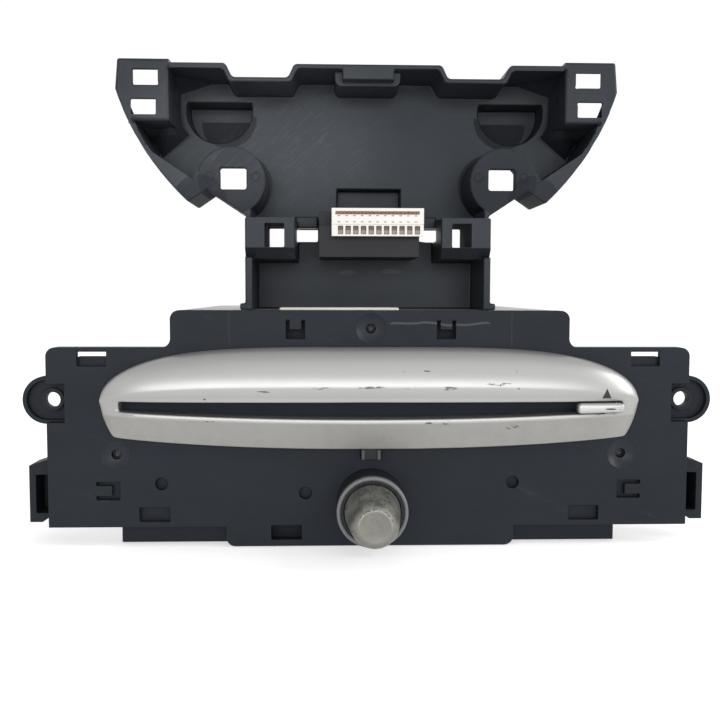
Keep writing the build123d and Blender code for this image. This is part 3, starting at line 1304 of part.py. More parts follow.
def rear_connector_pins():
    """Return the blades of the rear socket: power blades on the left, signal pins on the right."""
    left, right, low, top = socket_places()
    power = (left + SOCKET_WALL, socket_bridge(), POWER_PIN_WIDTH, POWER_PIN_THICKNESS)
    signal = (socket_bridge() + SOCKET_WALL, right - SOCKET_WALL, SIGNAL_PIN_SIZE, SIGNAL_PIN_SIZE)
    pins = []
    for x0, x1, width, thickness in (power, signal):
        for i in range(PIN_COLUMNS):
            x = x0 + (i + 0.5) * (x1 - x0) / PIN_COLUMNS
            for share in PIN_ROW_SHARES:
                blade = window(x, low + (top - low) * share, width, thickness)
                pins.append(slab(blade, CHASSIS_BACK + SOCKET_FLOOR, CHASSIS_BACK + SOCKET_DEPTH - PIN_SHORT))
    return Compound(children=pins)


def aerial_spots():
    """Return the X and Z of the two aerial sockets."""
    first = -CHASSIS_HALF + SOCKET_IN + AERIAL_BODY / 2
    return [(first, AERIAL_HEIGHT), (first + AERIAL_BODY + AERIAL_SPACE, AERIAL_HEIGHT)]


def aerial_sockets():
    """Return the two aerial sockets, each a keyed block with a round bore."""
    back = CHASSIS_BACK + AERIAL_DEPTH
    half = AERIAL_BODY / 2
    sockets = []
    for x, z in aerial_spots():
        body = slab(window(x, z, AERIAL_BODY, AERIAL_BODY), CHASSIS_BACK, back)
        body -= rod_y(x, z, AERIAL_RADIUS, CHASSIS_BACK + AERIAL_FLOOR, back + OVER)
        key = rect(x - AERIAL_KEY / 2, x + AERIAL_KEY / 2, z + half - OVER, z + half + KEY_STAND)
        sockets.append(body + slab(key, CHASSIS_BACK, back - KEY_STAND))
    return Compound(children=sockets)


def aerial_pins():
    """Return the centre contacts of the aerial sockets."""
    floor = CHASSIS_BACK + AERIAL_FLOOR
    pins = [rod_y(x, z, AERIAL_PIN_RADIUS, floor, floor + AERIAL_PIN_LENGTH) for x, z in aerial_spots()]
    return Compound(children=pins)


# Main board

def main_board():
    """Return the main circuit board on short pillars of the chassis floor."""
    inset = SHEET + MAIN_BOARD_MARGIN
    half = CHASSIS_HALF - inset
    board = box(-half, half, CHASSIS_FRONT + inset, CHASSIS_BACK - inset, MAIN_BOARD_HEIGHT, BOARD_TOP)
    for x, y in pillar_spots():
        board -= rod_z(x, y, SCREW_HOLE_RADIUS, MAIN_BOARD_HEIGHT - OVER, BOARD_TOP + OVER)
    return board


def pillar_spots():
    """Return where the main board's pillars stand."""
    x = CHASSIS_HALF - PILLAR_SIDE_IN
    ends = (CHASSIS_FRONT + PILLAR_END_IN, CHASSIS_BACK - PILLAR_END_IN)
    return [(side * x, y) for side in (-1, 1) for y in ends]


def board_pillars():
    """Return the pillars between the chassis floor and the main board."""
    return Compound(children=[rod_z(x, y, PILLAR_RADIUS, SHEET, MAIN_BOARD_HEIGHT) for x, y in pillar_spots()])


def amplifier_chip():
    """Return the power amplifier against the rear wall in front of the heat sink."""
    middle = CHASSIS_HALF - SINK_IN - SINK_WIDTH / 2
    back = CHASSIS_BACK - SHEET
    return box(middle - CHIP_WIDTH / 2, middle + CHIP_WIDTH / 2, back - CHIP_THICKNESS, back,
               BOARD_TOP, BOARD_TOP + CHIP_TALL)


def capacitors():
    """Return the upright capacitors on the main board."""
    first = -CHASSIS_HALF + CAN_IN
    y = CHASSIS_BACK - CAN_BEHIND
    cans = [rod_z(first + CAN_PITCH * i, y, CAN_RADIUS, BOARD_TOP, BOARD_TOP + CAN_TALL) for i in range(CAN_COUNT)]
    return Compound(children=cans)


def tuner_can():
    """Return the shielded tuner on the main board."""
    left = -CHASSIS_HALF + TUNER_IN
    front = CHASSIS_FRONT + TUNER_BACK
    return box(left, left + TUNER_WIDTH, front, front + TUNER_LENGTH, BOARD_TOP, BOARD_TOP + TUNER_TALL)


# Loading gears and roller

def involute_point(base, radius, half_angle):
    """Return the angle of a tooth flank at a radius, for a flank that starts from the base circle."""
    pressure = math.acos(min(1.0, base / max(radius, base)))
    return half_angle - (math.tan(pressure) - pressure)


def gear_profile(teeth):
    """Return a spur gear's outline with a tooth centred on the first axis."""
    pitch = GEAR_MODULE * teeth / 2
    pressure = math.radians(PRESSURE_ANGLE)
    base = pitch * math.cos(pressure)
    root = pitch - GEAR_DEDENDUM * GEAR_MODULE
    half = math.pi / (2 * teeth) + (math.tan(pressure) - pressure) - GEAR_BACKLASH / pitch
    flank = [(r, involute_point(base, r, half)) for r in (root, max(base, root), pitch, pitch + GEAR_MODULE)]
    if base <= root:
        flank.pop(0)
    points = []
    for tooth in range(teeth):
        centre = 2 * math.pi * tooth / teeth
        for radius, angle in [(r, -a) for r, a in flank] + list(reversed(flank)):
            points.append((radius * math.cos(centre + angle), radius * math.sin(centre + angle)))
    return polygon(*points)


def gear(teeth, place, turn, bore):
    """Return a gear in the plane beside the mechanism's left wall."""
    wheel = Pos(*place) * Rot(0, 0, turn) * (gear_profile(teeth) - Circle(bore))
    return extrude(Plane.YZ.offset(GEAR_SIDE - GEAR_WIDTH) * wheel, GEAR_WIDTH)


def mesh_distance(first, second):
    """Return the distance between the axes of two gears in mesh."""
    return GEAR_MODULE * (first + second) / 2 + MESH_SPARE


def idler_place():
    """Return the idler's axis, behind and below the roller."""
    distance = mesh_distance(ROLLER_TEETH, IDLER_TEETH)
    angle = math.radians(-IDLER_DROP_ANGLE)
    return ROLLER_Y + distance * math.cos(angle), ROLLER_Z + distance * math.sin(angle)


def pinion_place():
    """Return the pinion's axis, straight behind the idler."""
    y, z = idler_place()
    return y + mesh_distance(IDLER_TEETH, PINION_TEETH), z


def meshed_turn(first_turn, first, second, direction):
    """Return the turn of a gear whose gap takes the tooth of the first one along a direction."""
    return direction + 180 + 180.0 / second - (first_turn - direction) * first / second


def loading_gears():
    """Return the roller's gear, the idler and the motor's pinion, in mesh."""
    roller_turn = -IDLER_DROP_ANGLE
    idler_turn = meshed_turn(roller_turn, ROLLER_TEETH, IDLER_TEETH, -IDLER_DROP_ANGLE)
    pinion_turn = meshed_turn(idler_turn, IDLER_TEETH, PINION_TEETH, 0.0)
    roller_gear = gear(ROLLER_TEETH, (ROLLER_Y, ROLLER_Z), roller_turn, ROLLER_CORE)
    idler_gear = gear(IDLER_TEETH, idler_place(), idler_turn, ROLLER_CORE + FIT)
    return roller_gear, idler_gear, gear(PINION_TEETH, pinion_place(), pinion_turn, MOTOR_SHAFT_RADIUS)


def loading_roller():
    """Return the rubber roller and its steel shaft."""
    shaft = rod_x(ROLLER_Y, ROLLER_Z, ROLLER_CORE, GEAR_SIDE - GEAR_WIDTH, MECH_HALF + ROLLER_END)
    sleeve = rod_x(ROLLER_Y, ROLLER_Z, ROLLER_RADIUS, -ROLLER_HALF, ROLLER_HALF)
    sleeve -= rod_x(ROLLER_Y, ROLLER_Z, ROLLER_CORE, -ROLLER_HALF - OVER, ROLLER_HALF + OVER)
    return sleeve, shaft


def loading_motor():
    """Return the loading motor inside the mechanism's left wall."""
    inner = -MECH_HALF + MECH_SHEET
    return rod_x(*pinion_place(), LOADING_MOTOR_RADIUS, inner, inner + LOADING_MOTOR_LENGTH)


def motor_shaft():
    """Return the loading motor's shaft, which carries the pinion."""
    return rod_x(*pinion_place(), MOTOR_SHAFT_RADIUS, GEAR_SIDE - GEAR_WIDTH, -MECH_HALF + MECH_SHEET)


# Mechanism frame

def mech_frame():
    """Return the folded frame of the disc mechanism with its lugs and the idler's stud."""
    wall = MECH_SHEET
    frame = box(-MECH_HALF, MECH_HALF, MECH_FRONT, MECH_BACK, MECH_FLOOR, MECH_FLOOR + wall)
    frame += both_sides(box(MECH_HALF - wall, MECH_HALF, MECH_FRONT, MECH_BACK, MECH_FLOOR, MECH_TOP))
    frame += box(-MECH_HALF, MECH_HALF, MECH_BACK - wall, MECH_BACK, MECH_FLOOR, MECH_TOP)
    lug_in = ARM_HALF + ARM_LUG_BESIDE
    lug_low = ARM_HEIGHT - ARM_LUG_BELOW
    frame += both_sides(box(lug_in, lug_in + ARM_LUG_THICKNESS, ARM_PIVOT_Y - 2 * PIVOT_RADIUS, MECH_BACK,
                            lug_low, lug_low + ARM_LUG_TALL))
    frame -= rod_x(ARM_PIVOT_Y, ARM_PIVOT_Z, PIVOT_RADIUS, -MECH_HALF / 2, MECH_HALF / 2)
    frame -= rod_x(ROLLER_Y, ROLLER_Z, ROLLER_CORE + FIT, -MECH_HALF - OVER, MECH_HALF + OVER)
    frame += rod_x(*idler_place(), ROLLER_CORE, GEAR_SIDE - GEAR_WIDTH - STUD_END, -MECH_HALF + wall / 2)
    frame -= rod_x(*pinion_place(), 2 * MOTOR_SHAFT_RADIUS, -MECH_HALF - OVER, -MECH_HALF + wall + OVER)
    block_top = ROD_Z + 2 * ROD_RADIUS
    for x in (-ROD_OUT, ROD_OUT):
        for y in (ROD_FRONT, ROD_BACK):
            frame += box(x - ROD_BLOCK, x + ROD_BLOCK, y, y + ROD_BLOCK, MECH_FLOOR + wall / 2, block_top)
        frame -= rod_y(x, ROD_Z, ROD_RADIUS, ROD_FRONT - OVER, MECH_BACK - wall)
    return frame


def mech_top_plate():
    """Return the guide plate over the mechanism with a window for the clamp."""
    half = ARM_HALF + ARM_WINDOW_SIDE
    plate = box(-MECH_HALF, MECH_HALF, MECH_FRONT, MECH_BACK, MECH_TOP, MECH_TOP + MECH_SHEET)
    return plate - box(-half, half, SPINDLE_Y - ARM_AHEAD - ARM_WINDOW_AHEAD, MECH_BACK - ARM_WINDOW_AHEAD,
                       MECH_TOP - OVER, MECH_TOP + MECH_SHEET + OVER)


def mech_dampers():
    """Return the rubber dampers between the mechanism and the chassis sides."""
    z = MECH_FLOOR + DAMPER_UP
    spots = [(side, y) for side in (-1, 1) for y in (MECH_FRONT + DAMPER_FRONT, MECH_BACK - DAMPER_BACK)]
    inner, outer = MECH_HALF, CHASSIS_HALF - SHEET
    return Compound(children=[rod_x(y, z, DAMPER_RADIUS, side * inner, side * outer) for side, y in spots])


# Pickup sled

def guide_rods():
    """Return the two rods that the sled slides on."""
    rods = [rod_y(x, ROD_Z, ROD_RADIUS, ROD_FRONT, ROD_BACK + ROD_BLOCK) for x in (-ROD_OUT, ROD_OUT)]
    return Compound(children=rods)


def pickup_sled():
    """Return the sled on its rods, at rest under the disc's lead-in, with the lens well and the screw's nut."""
    front, back = SLED_Y - SLED_HALF_LENGTH, SLED_Y + SLED_HALF_LENGTH
    low = ROD_Z - SLED_BELOW
    top = low + SLED_TALL
    sled = box(-SLED_HALF_WIDTH, SLED_HALF_WIDTH - SLED_SHORT, front, back, low, top)
    for x in (-ROD_OUT, ROD_OUT):
        sled -= rod_y(x, ROD_Z, ROD_RADIUS + FIT, front - OVER, back + OVER)
    sled -= rod_y(-SCREW_OUT, ROD_Z, LEAD_RADIUS + FIT, front - OVER, back + OVER)
    return sled - rod_z(0, SLED_Y, LENS_RADIUS + LENS_PLAY, top - LENS_WELL, top + OVER)


def pickup_lens():
    """Return the lens, which floats in its well."""
    top = ROD_Z - SLED_BELOW + SLED_TALL + LENS_STAND
    lens = rod_z(0, SLED_Y, LENS_RADIUS, top - LENS_TALL, top)
    return chamfer(topmost(lens, top), LENS_EDGE)


def sled_drive():
    """Return the lead screw and its motor in front of it."""
    end = ROD_FRONT - 2 * GAP
    motor = rod_y(-SCREW_OUT, ROD_Z, SLED_MOTOR_RADIUS, end - SLED_MOTOR_LENGTH, end)
    return rod_y(-SCREW_OUT, ROD_Z, LEAD_RADIUS, end, ROD_BACK), motor


# Spindle and clamp

def spindle_parts():
    """Return the spindle motor and the turntable on its shaft."""
    floor = MECH_FLOOR + MECH_SHEET
    motor_top = floor + SPINDLE_MOTOR_TALL
    table_top = DISC_HEIGHT - CLAMPED_DROP
    table_low = table_top - TURNTABLE_THICKNESS
    hub_top = table_top + HUB_TALL
    motor = rod_z(0, SPINDLE_Y, SPINDLE_MOTOR_RADIUS, floor, motor_top)
    motor -= rod_z(0, SPINDLE_Y, SPINDLE_RADIUS + FIT, floor + SPINDLE_FOOT - OVER, motor_top + OVER)
    table = rod_z(0, SPINDLE_Y, TURNTABLE_RADIUS, table_low, table_top)
    hub = rod_z(0, SPINDLE_Y, HUB_RADIUS, table_top - OVER, hub_top)
    table += chamfer(topmost(hub, hub_top), HUB_BEVEL)
    return motor, table + rod_z(0, SPINDLE_Y, SPINDLE_RADIUS, floor + SPINDLE_FOOT, table_low + OVER)


def clamp_arm():
    """Return the clamp arm with its knuckle and the puck's hole."""
    top = ARM_HEIGHT + ARM_THICKNESS
    nose = SPINDLE_Y - ARM_AHEAD
    plan = polygon((-ARM_HALF, ARM_PIVOT_Y), (-ARM_NOSE, nose), (ARM_NOSE, nose), (ARM_HALF, ARM_PIVOT_Y))
    arm = Pos(0, 0, ARM_HEIGHT) * extrude(plan, ARM_THICKNESS)
    arm += rod_x(ARM_PIVOT_Y, ARM_PIVOT_Z, PIVOT_RADIUS + KNUCKLE_WALL, -ARM_HALF, ARM_HALF)
    arm -= rod_x(ARM_PIVOT_Y, ARM_PIVOT_Z, PIVOT_RADIUS + FIT / 2, -ARM_HALF - OVER, ARM_HALF + OVER)
    return arm - rod_z(0, SPINDLE_Y, PUCK_NECK + PUCK_PLAY, ARM_HEIGHT - OVER, top + OVER)


def clamp_pin():
    """Return the pin that the clamp arm swings on."""
    return rod_x(ARM_PIVOT_Y, ARM_PIVOT_Z, PIVOT_RADIUS, -ARM_HALF - PIN_END, ARM_HALF + PIN_END)


def clamp_puck():
    """Return the puck that hangs in the arm's hole by its cap and presses the disc on the turntable."""
    high = ARM_HEIGHT - PUCK_PLAY
    low = high - PUCK_TALL
    cap_low = ARM_HEIGHT + ARM_THICKNESS + PUCK_PLAY
    cap_top = cap_low + PUCK_CAP_TALL
    puck = rod_z(0, SPINDLE_Y, PUCK_RADIUS, low, high)
    puck -= rod_z(0, SPINDLE_Y, HUB_RADIUS + PUCK_BORE_PLAY, low - OVER, low + HUB_TALL)
    puck += rod_z(0, SPINDLE_Y, PUCK_NECK, high - OVER, cap_top)
    return puck + rod_z(0, SPINDLE_Y, PUCK_NECK + PUCK_CAP_WIDTH, cap_low, cap_top)


def all_parts():
    """Return every sub-part by its name."""
    upper_felt, lower_felt = slot_felts()
    encoder_body, encoder_plunger, encoder_shaft = encoder()
    roller_gear, idler_gear, pinion = loading_gears()
    roller, roller_shaft = loading_roller()
    lead_screw, sled_motor = sled_drive()
    spindle_motor, turntable = spindle_parts()
    return {
        "front_carrier": front_carrier(), "silver_trim": silver_trim(), "eject_button": eject_button(),
        "eject_switch": eject_switch(), "light_guide": light_guide(), "knob_ring": knob_ring(),
        "volume_knob": volume_knob(), "encoder_body": encoder_body, "encoder_plunger": encoder_plunger,
        "encoder_shaft": encoder_shaft, "slot_felt_upper": upper_felt, "slot_felt_lower": lower_felt,
        "backing_frame": backing_frame(), "carrier_screws": carrier_screws(), "front_board": front_board(),
        "upper_bracket": upper_bracket(), "connector_holder": connector_holder(),
        "connector_housing": connector_housing(), "connector_contacts": connector_contacts(),
        "bracket_screws": bracket_screws(), "chassis_tray": chassis_tray(), "chassis_cover": chassis_cover(),
        "cover_screws": cover_screws(), "heat_sink": heat_sink(), "rear_connector": rear_connector(),
        "rear_connector_pins": rear_connector_pins(), "aerial_sockets": aerial_sockets(),
        "aerial_pins": aerial_pins(), "main_board": main_board(), "board_pillars": board_pillars(),
        "amplifier_chip": amplifier_chip(), "capacitors": capacitors(), "tuner_can": tuner_can(),
        "mech_frame": mech_frame(), "mech_top_plate": mech_top_plate(), "mech_dampers": mech_dampers(),
        "loading_roller": roller, "roller_shaft": roller_shaft, "roller_gear": roller_gear,
        "idler_gear": idler_gear, "motor_pinion": pinion, "motor_shaft": motor_shaft(),
        "loading_motor": loading_motor(), "spindle_motor": spindle_motor, "turntable": turntable,
        "clamp_arm": clamp_arm(), "clamp_pin": clamp_pin(), "clamp_puck": clamp_puck(),
        "pickup_sled": pickup_sled(), "pickup_lens": pickup_lens(), "guide_rods": guide_rods(),
        "lead_screw": lead_screw, "sled_motor": sled_motor,
    }


os.makedirs("parts", exist_ok=True)
for name, part in all_parts().items():
    part.label = name
    export_step(part, f"parts/{name}.step")
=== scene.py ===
import logging
import math
from dataclasses import dataclass, field, replace
from enum import Enum

import bmesh
import bpy
import numpy as np
from mathutils import Matrix, Vector
from mathutils.bvhtree import BVHTree
from mathutils.kdtree import KDTree


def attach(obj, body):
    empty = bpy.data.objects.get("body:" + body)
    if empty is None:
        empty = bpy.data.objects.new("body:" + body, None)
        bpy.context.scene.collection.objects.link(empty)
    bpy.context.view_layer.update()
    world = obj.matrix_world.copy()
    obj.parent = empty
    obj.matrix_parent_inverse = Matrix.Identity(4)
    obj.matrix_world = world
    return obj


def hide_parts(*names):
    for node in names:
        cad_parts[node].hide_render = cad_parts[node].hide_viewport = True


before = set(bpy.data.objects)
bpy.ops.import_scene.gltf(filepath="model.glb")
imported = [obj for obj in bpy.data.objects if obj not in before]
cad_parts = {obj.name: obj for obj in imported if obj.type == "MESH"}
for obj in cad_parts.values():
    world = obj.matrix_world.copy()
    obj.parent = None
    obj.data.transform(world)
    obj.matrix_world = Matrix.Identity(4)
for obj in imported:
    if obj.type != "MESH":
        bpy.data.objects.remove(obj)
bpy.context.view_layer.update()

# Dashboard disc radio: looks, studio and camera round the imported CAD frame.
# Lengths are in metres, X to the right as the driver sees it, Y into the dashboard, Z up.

LOG = logging.getLogger("radio")
FACE_Y = -0.011          # the front carrier's face
KNOB_Z = 0.0188          # the knob's axis
IMAGE_SIDE = 720
MERGE = 2e-6             # joins the CAD's loose triangles
SHARP = math.radians(32)  # edges sharper than this are eased, or kept sharp in shading
DOUBLES = 1e-7           # corners of a new mesh that are nearer than this are one
COOL = (0.86, 0.93, 1.0)  # tint of the black mouldings' gloss
Pair = tuple[float, float]
Triple = tuple[float, float, float]
Quad = tuple[float, float, float, float]
Colour = Triple


# ---------------------------------------------------------------- shader maths

class Signal:
    """A node's output on which Python's operators add Math nodes."""

    def __init__(self, graph: "Graph", socket: bpy.types.NodeSocket) -> None:
        """Keeps the graph and the output socket."""
        self.graph = graph
        self.socket = socket

    def _math(self, operation: str, *values: "Signal | float") -> "Signal":
        """Adds one Math node.

        Args:
            operation: the node's operation.
            values: its inputs in order.

        Returns:
            The node's result.
        """
        return self.graph.node("ShaderNodeMath", {"operation": operation}, dict(enumerate(values)))

    def __add__(self, other: "Signal | float") -> "Signal":
        """Sum."""
        return self._math("ADD", self, other)

    def __radd__(self, other: float) -> "Signal":
        """Sum with a number on the left."""
        return self._math("ADD", other, self)

    def __sub__(self, other: "Signal | float") -> "Signal":
        """Difference."""
        return self._math("SUBTRACT", self, other)

    def __rsub__(self, other: float) -> "Signal":
        """Difference from a number on the left."""
        return self._math("SUBTRACT", other, self)

    def __mul__(self, other: "Signal | float") -> "Signal":
        """Product."""
        return self._math("MULTIPLY", self, other)

    def __rmul__(self, other: float) -> "Signal":
        """Product with a number on the left."""
        return self._math("MULTIPLY", other, self)

    def __truediv__(self, other: "Signal | float") -> "Signal":
        """Quotient."""
        return self._math("DIVIDE", self, other)

    def __pow__(self, other: "Signal | float") -> "Signal":
        """Power."""
        return self._math("POWER", self, other)

    def __abs__(self) -> "Signal":
        """Absolute value."""
        return self._math("ABSOLUTE", self)

    def least(self, other: "Signal | float") -> "Signal":
        """The smaller of two values."""
        return self._math("MINIMUM", self, other)

    def sine(self) -> "Signal":
        """Sine of the value."""
        return self._math("SINE", self)

    def above(self, edge: float, soft: float) -> "Signal":
        """Rises smoothly from 0 to 1 round an edge.

        Args:
            edge: where the result is one half.
            soft: half the width of the rise.

        Returns:
            The mask.
        """
        settings = {"interpolation_type": "SMOOTHSTEP"}
        return self.graph.node("ShaderNodeMapRange", settings, {0: self, 1: edge - soft, 2: edge + soft})

    def below(self, edge: float, soft: float) -> "Signal":
        """Falls smoothly from 1 to 0 round an edge."""
        return 1 - self.above(edge, soft)


class Graph:
    """A node tree and the one method that adds nodes to it."""

    def __init__(self, tree: bpy.types.NodeTree) -> None:
        """Keeps the tree."""
        self.tree = tree

    def node(self, kind: str, settings: dict | None = None, inputs: dict | None = None,
             output: int | str = 0) -> Signal:
        """Adds a node.

        Args:
            kind: its type.
            settings: its own settings, set first.
            inputs: a value or a Signal for each named or numbered socket.
            output: which output to return.

        Returns:
            The output as a Signal.
        """
        node = self.tree.nodes.new(kind)
        for key, value in (settings or {}).items():
            setattr(node, key, value)
        for key, value in (inputs or {}).items():
            self.feed(node.inputs[key], value)
        return Signal(self, node.outputs[output])

    def feed(self, socket: bpy.types.NodeSocket, value: "Signal | float | tuple") -> None:
        """Links a Signal to a socket, or sets the socket's own value.

        Args:
            socket: an input of one of the tree's nodes.
            value: a Signal, a number, or a colour or vector of three numbers.
        """
        if isinstance(value, Signal):
            self.tree.links.new(value.socket, socket)
        elif isinstance(value, tuple) and socket.type == "RGBA":
            socket.default_value = (*value[:3], 1.0)
        else:
            socket.default_value = value


class Coat(Graph):
    """A material with a Principled shader and the patterns that feed it."""

    def __init__(self, name: str) -> None:
        """Starts a material with a Principled shader.

        Args:
            name: the material's name.
        """
        self.material = bpy.data.materials.new(name)
        self.material.use_nodes = True
        super().__init__(self.material.node_tree)
        self.tree.nodes.clear()
        self.shader = self.tree.nodes.new("ShaderNodeBsdfPrincipled")
        output = self.tree.nodes.new("ShaderNodeOutputMaterial")
        self.tree.links.new(self.shader.outputs["BSDF"], output.inputs["Surface"])
        self._place: Signal | None = None

    def set(self, **values: "Signal | float | tuple") -> None:
        """Feeds the shader's sockets; a name's underscores stand for blanks."""
        for key, value in values.items():
            self.feed(self.shader.inputs[key.replace("_", " ")], value)

    def place(self) -> Signal:
        """The point on the object, from one node that all patterns share.

        Returns:
            Its coordinates in metres.
        """
        if self._place is None:
            self._place = self.node("ShaderNodeTexCoord", {}, {}, "Object")
        return self._place

    def axis(self, name: str) -> Signal:
        """One coordinate of the point, X, Y or Z."""
        return self.node("ShaderNodeSeparateXYZ", {}, {0: self.place()}, name)

    def drawn(self, lengths: Triple, turn: float = 0.0) -> Signal:
        """The point for a pattern that is so many times longer along each axis, after a turn about Y."""
        inputs = {"Vector": self.place(), "Rotation": (0.0, turn, 0.0), "Scale": lengths}
        return self.node("ShaderNodeMapping", {"vector_type": "TEXTURE"}, inputs)

    def noise(self, scale: float, detail: float = 3.0, roughness: float = 0.55,
              where: Signal | None = None) -> Signal:
        """Fractal noise of about 0 to 1.

        Args:
            scale: waves per metre.
            detail: octaves.
            roughness: share of the fine octaves.
            where: the point it reads, the object's own by default.

        Returns:
            The noise.
        """
        inputs = {"Vector": where or self.place(), "Scale": scale, "Detail": detail, "Roughness": roughness}
        return self.node("ShaderNodeTexNoise", {}, inputs, 0)

    def specks(self, scale: float, size: float) -> Signal:
        """Small round specks, 1 inside and 0 outside, of a size in cell widths."""
        inputs = {"Vector": self.place(), "Scale": scale}
        return self.node("ShaderNodeTexVoronoi", {}, inputs, "Distance").below(size, size * 0.4)

    def patch(self, spot: "Patch", ragged: Signal | None = None) -> Signal:
        """A soft ellipse in the front view: where the squares of the shares of both half sizes add up to under 1.

        Args:
            spot: the ellipse.
            ragged: a pattern of about 0 to 1 that breaks it up, if any.

        Returns:
            The mask, 1 inside.
        """
        across = (self.axis("X") - spot.x) / spot.half_x
        up = (self.axis("Z") - spot.z) / spot.half_z
        reach = across * across + up * up
        return (reach if ragged is None else reach + (ragged - 0.5) * spot.ragged).below(1.0, spot.soft)

    def mix(self, mask: "Signal | float", first: "Signal | tuple", second: "Signal | tuple") -> Signal:
        """A colour between two, first where the mask is 0 and second where it is 1."""
        return self.node("ShaderNodeMix", {"data_type": "RGBA"}, {0: mask, 6: first, 7: second}, 2)

    def bump(self, height: Signal, depth: float) -> Signal:
        """A Normal from a height of 0 to 1 that stands for a depth in metres."""
        return self.node("ShaderNodeBump", {}, {"Height": height, "Distance": depth})


@dataclass(frozen=True)
class Patch:
    """A small mark in the front view: its middle, half sizes, softness and raggedness."""

    x: float
    z: float
    half_x: float
    half_z: float
    soft: float = 0.25
    ragged: float = 0.0


# ---------------------------------------------------------------- finishes

@dataclass(frozen=True)
class Look:
    """What every finish has: a name and a material, whose shader it feeds in its own way."""

    name: str

    def dress(self, g: Coat) -> None:
        """Feeds the shader."""
        raise NotImplementedError(self.name)

    def material(self) -> bpy.types.Material:
        """Builds the material.

        Returns:
            The material, with its shader fed.
        """
        g = Coat(self.name)
        self.dress(g)
        return g.material


@dataclass(frozen=True)
class MouldedPlastic(Look):
    """Satin injection-moulded plastic with a fine grain, handling marks and dust."""

    tone: Colour
    # also the colour of painted sheen on the bracket and of painted shade in the plug's openings
    worn: Colour
    roughness: float = 0.46
    grain: float = 0.00002
    wear: float = 0.5
    shine: float = 0.32
    tint: Colour = (1.0, 1.0, 1.0)
    smear_share: float = 0.35
    dust_share: float = 0.6
    scuff_share: float = 0.7

    def marks(self, g: Coat) -> "Signal | float":
        """Marks of one piece's own, 0 to 1."""
        return 0.0

    def matt(self, g: Coat) -> "Signal | float":
        """How much rougher the piece is in places of its own."""
        return 0.0

    def dress(self, g: Coat) -> None:
        """Mixes the worn colour in by the sum of smears, dust, scuffs and the piece's own marks, which on the bracket
        include a painted sheen and on the plug face painted shade.

        Args:
            g: the material.
        """
        cloud = g.noise(26, 4)
        smear = g.noise(60, 5, 0.65, g.drawn((2.6, 1, 0.7)))
        dust = g.noise(900, 2, 0.6) * g.noise(48, 3)
        scuff = g.noise(240, 6, 0.7, g.drawn((11, 1, 1), 0.4)).above(0.66, 0.03) * cloud.above(0.52, 0.08)
        handled = smear * self.smear_share + dust * self.dust_share + scuff * self.scuff_share
        amount = handled * self.wear + self.marks(g)
        g.set(Base_Color=g.mix(amount.least(1.0), self.tone, self.worn),
              Roughness=self.roughness + (cloud - 0.5) * 0.14 + scuff * 0.10 + self.matt(g),
              Normal=g.bump(g.noise(2600, 2, 0.6), self.grain), Specular_IOR_Level=self.shine,
              Specular_Tint=self.tint)


@dataclass(frozen=True)
class CarrierPlastic(MouldedPlastic):
    """The carrier's plastic, with a long scratch by the right catch and two faint knit lines."""

    scratch: Patch = Patch(0.0292, 0.0945, 0.0213, 0.0030, 0.05)
    scratch_wide: float = 0.00036
    scratch_wander: float = 0.0045
    knit_x: float = 0.0595
    knit_wide: float = 0.00016
    knit_share: float = 0.35
    crown: float = 0.085

    def marks(self, g: Coat) -> Signal:
        """The scratch, whose height wanders with a slow noise, and the knit lines on the crown.

        Args:
            g: the material.

        Returns:
            Their strength.
        """
        ragged = g.noise(700, 3)
        knit = abs(abs(g.axis("X")) - self.knit_x).below(self.knit_wide, self.knit_wide * 0.6)
        wander = (g.noise(55, 2, 0.5, g.drawn((1, 1, 40))) - 0.5) * self.scratch_wander
        line = abs(g.axis("Z") - self.scratch.z - wander).below(self.scratch_wide, self.scratch_wide * 0.7)
        lines = line * g.patch(self.scratch) * (0.7 + ragged)
        return knit * g.axis("Z").above(self.crown, 0.002) * self.knit_share + lines


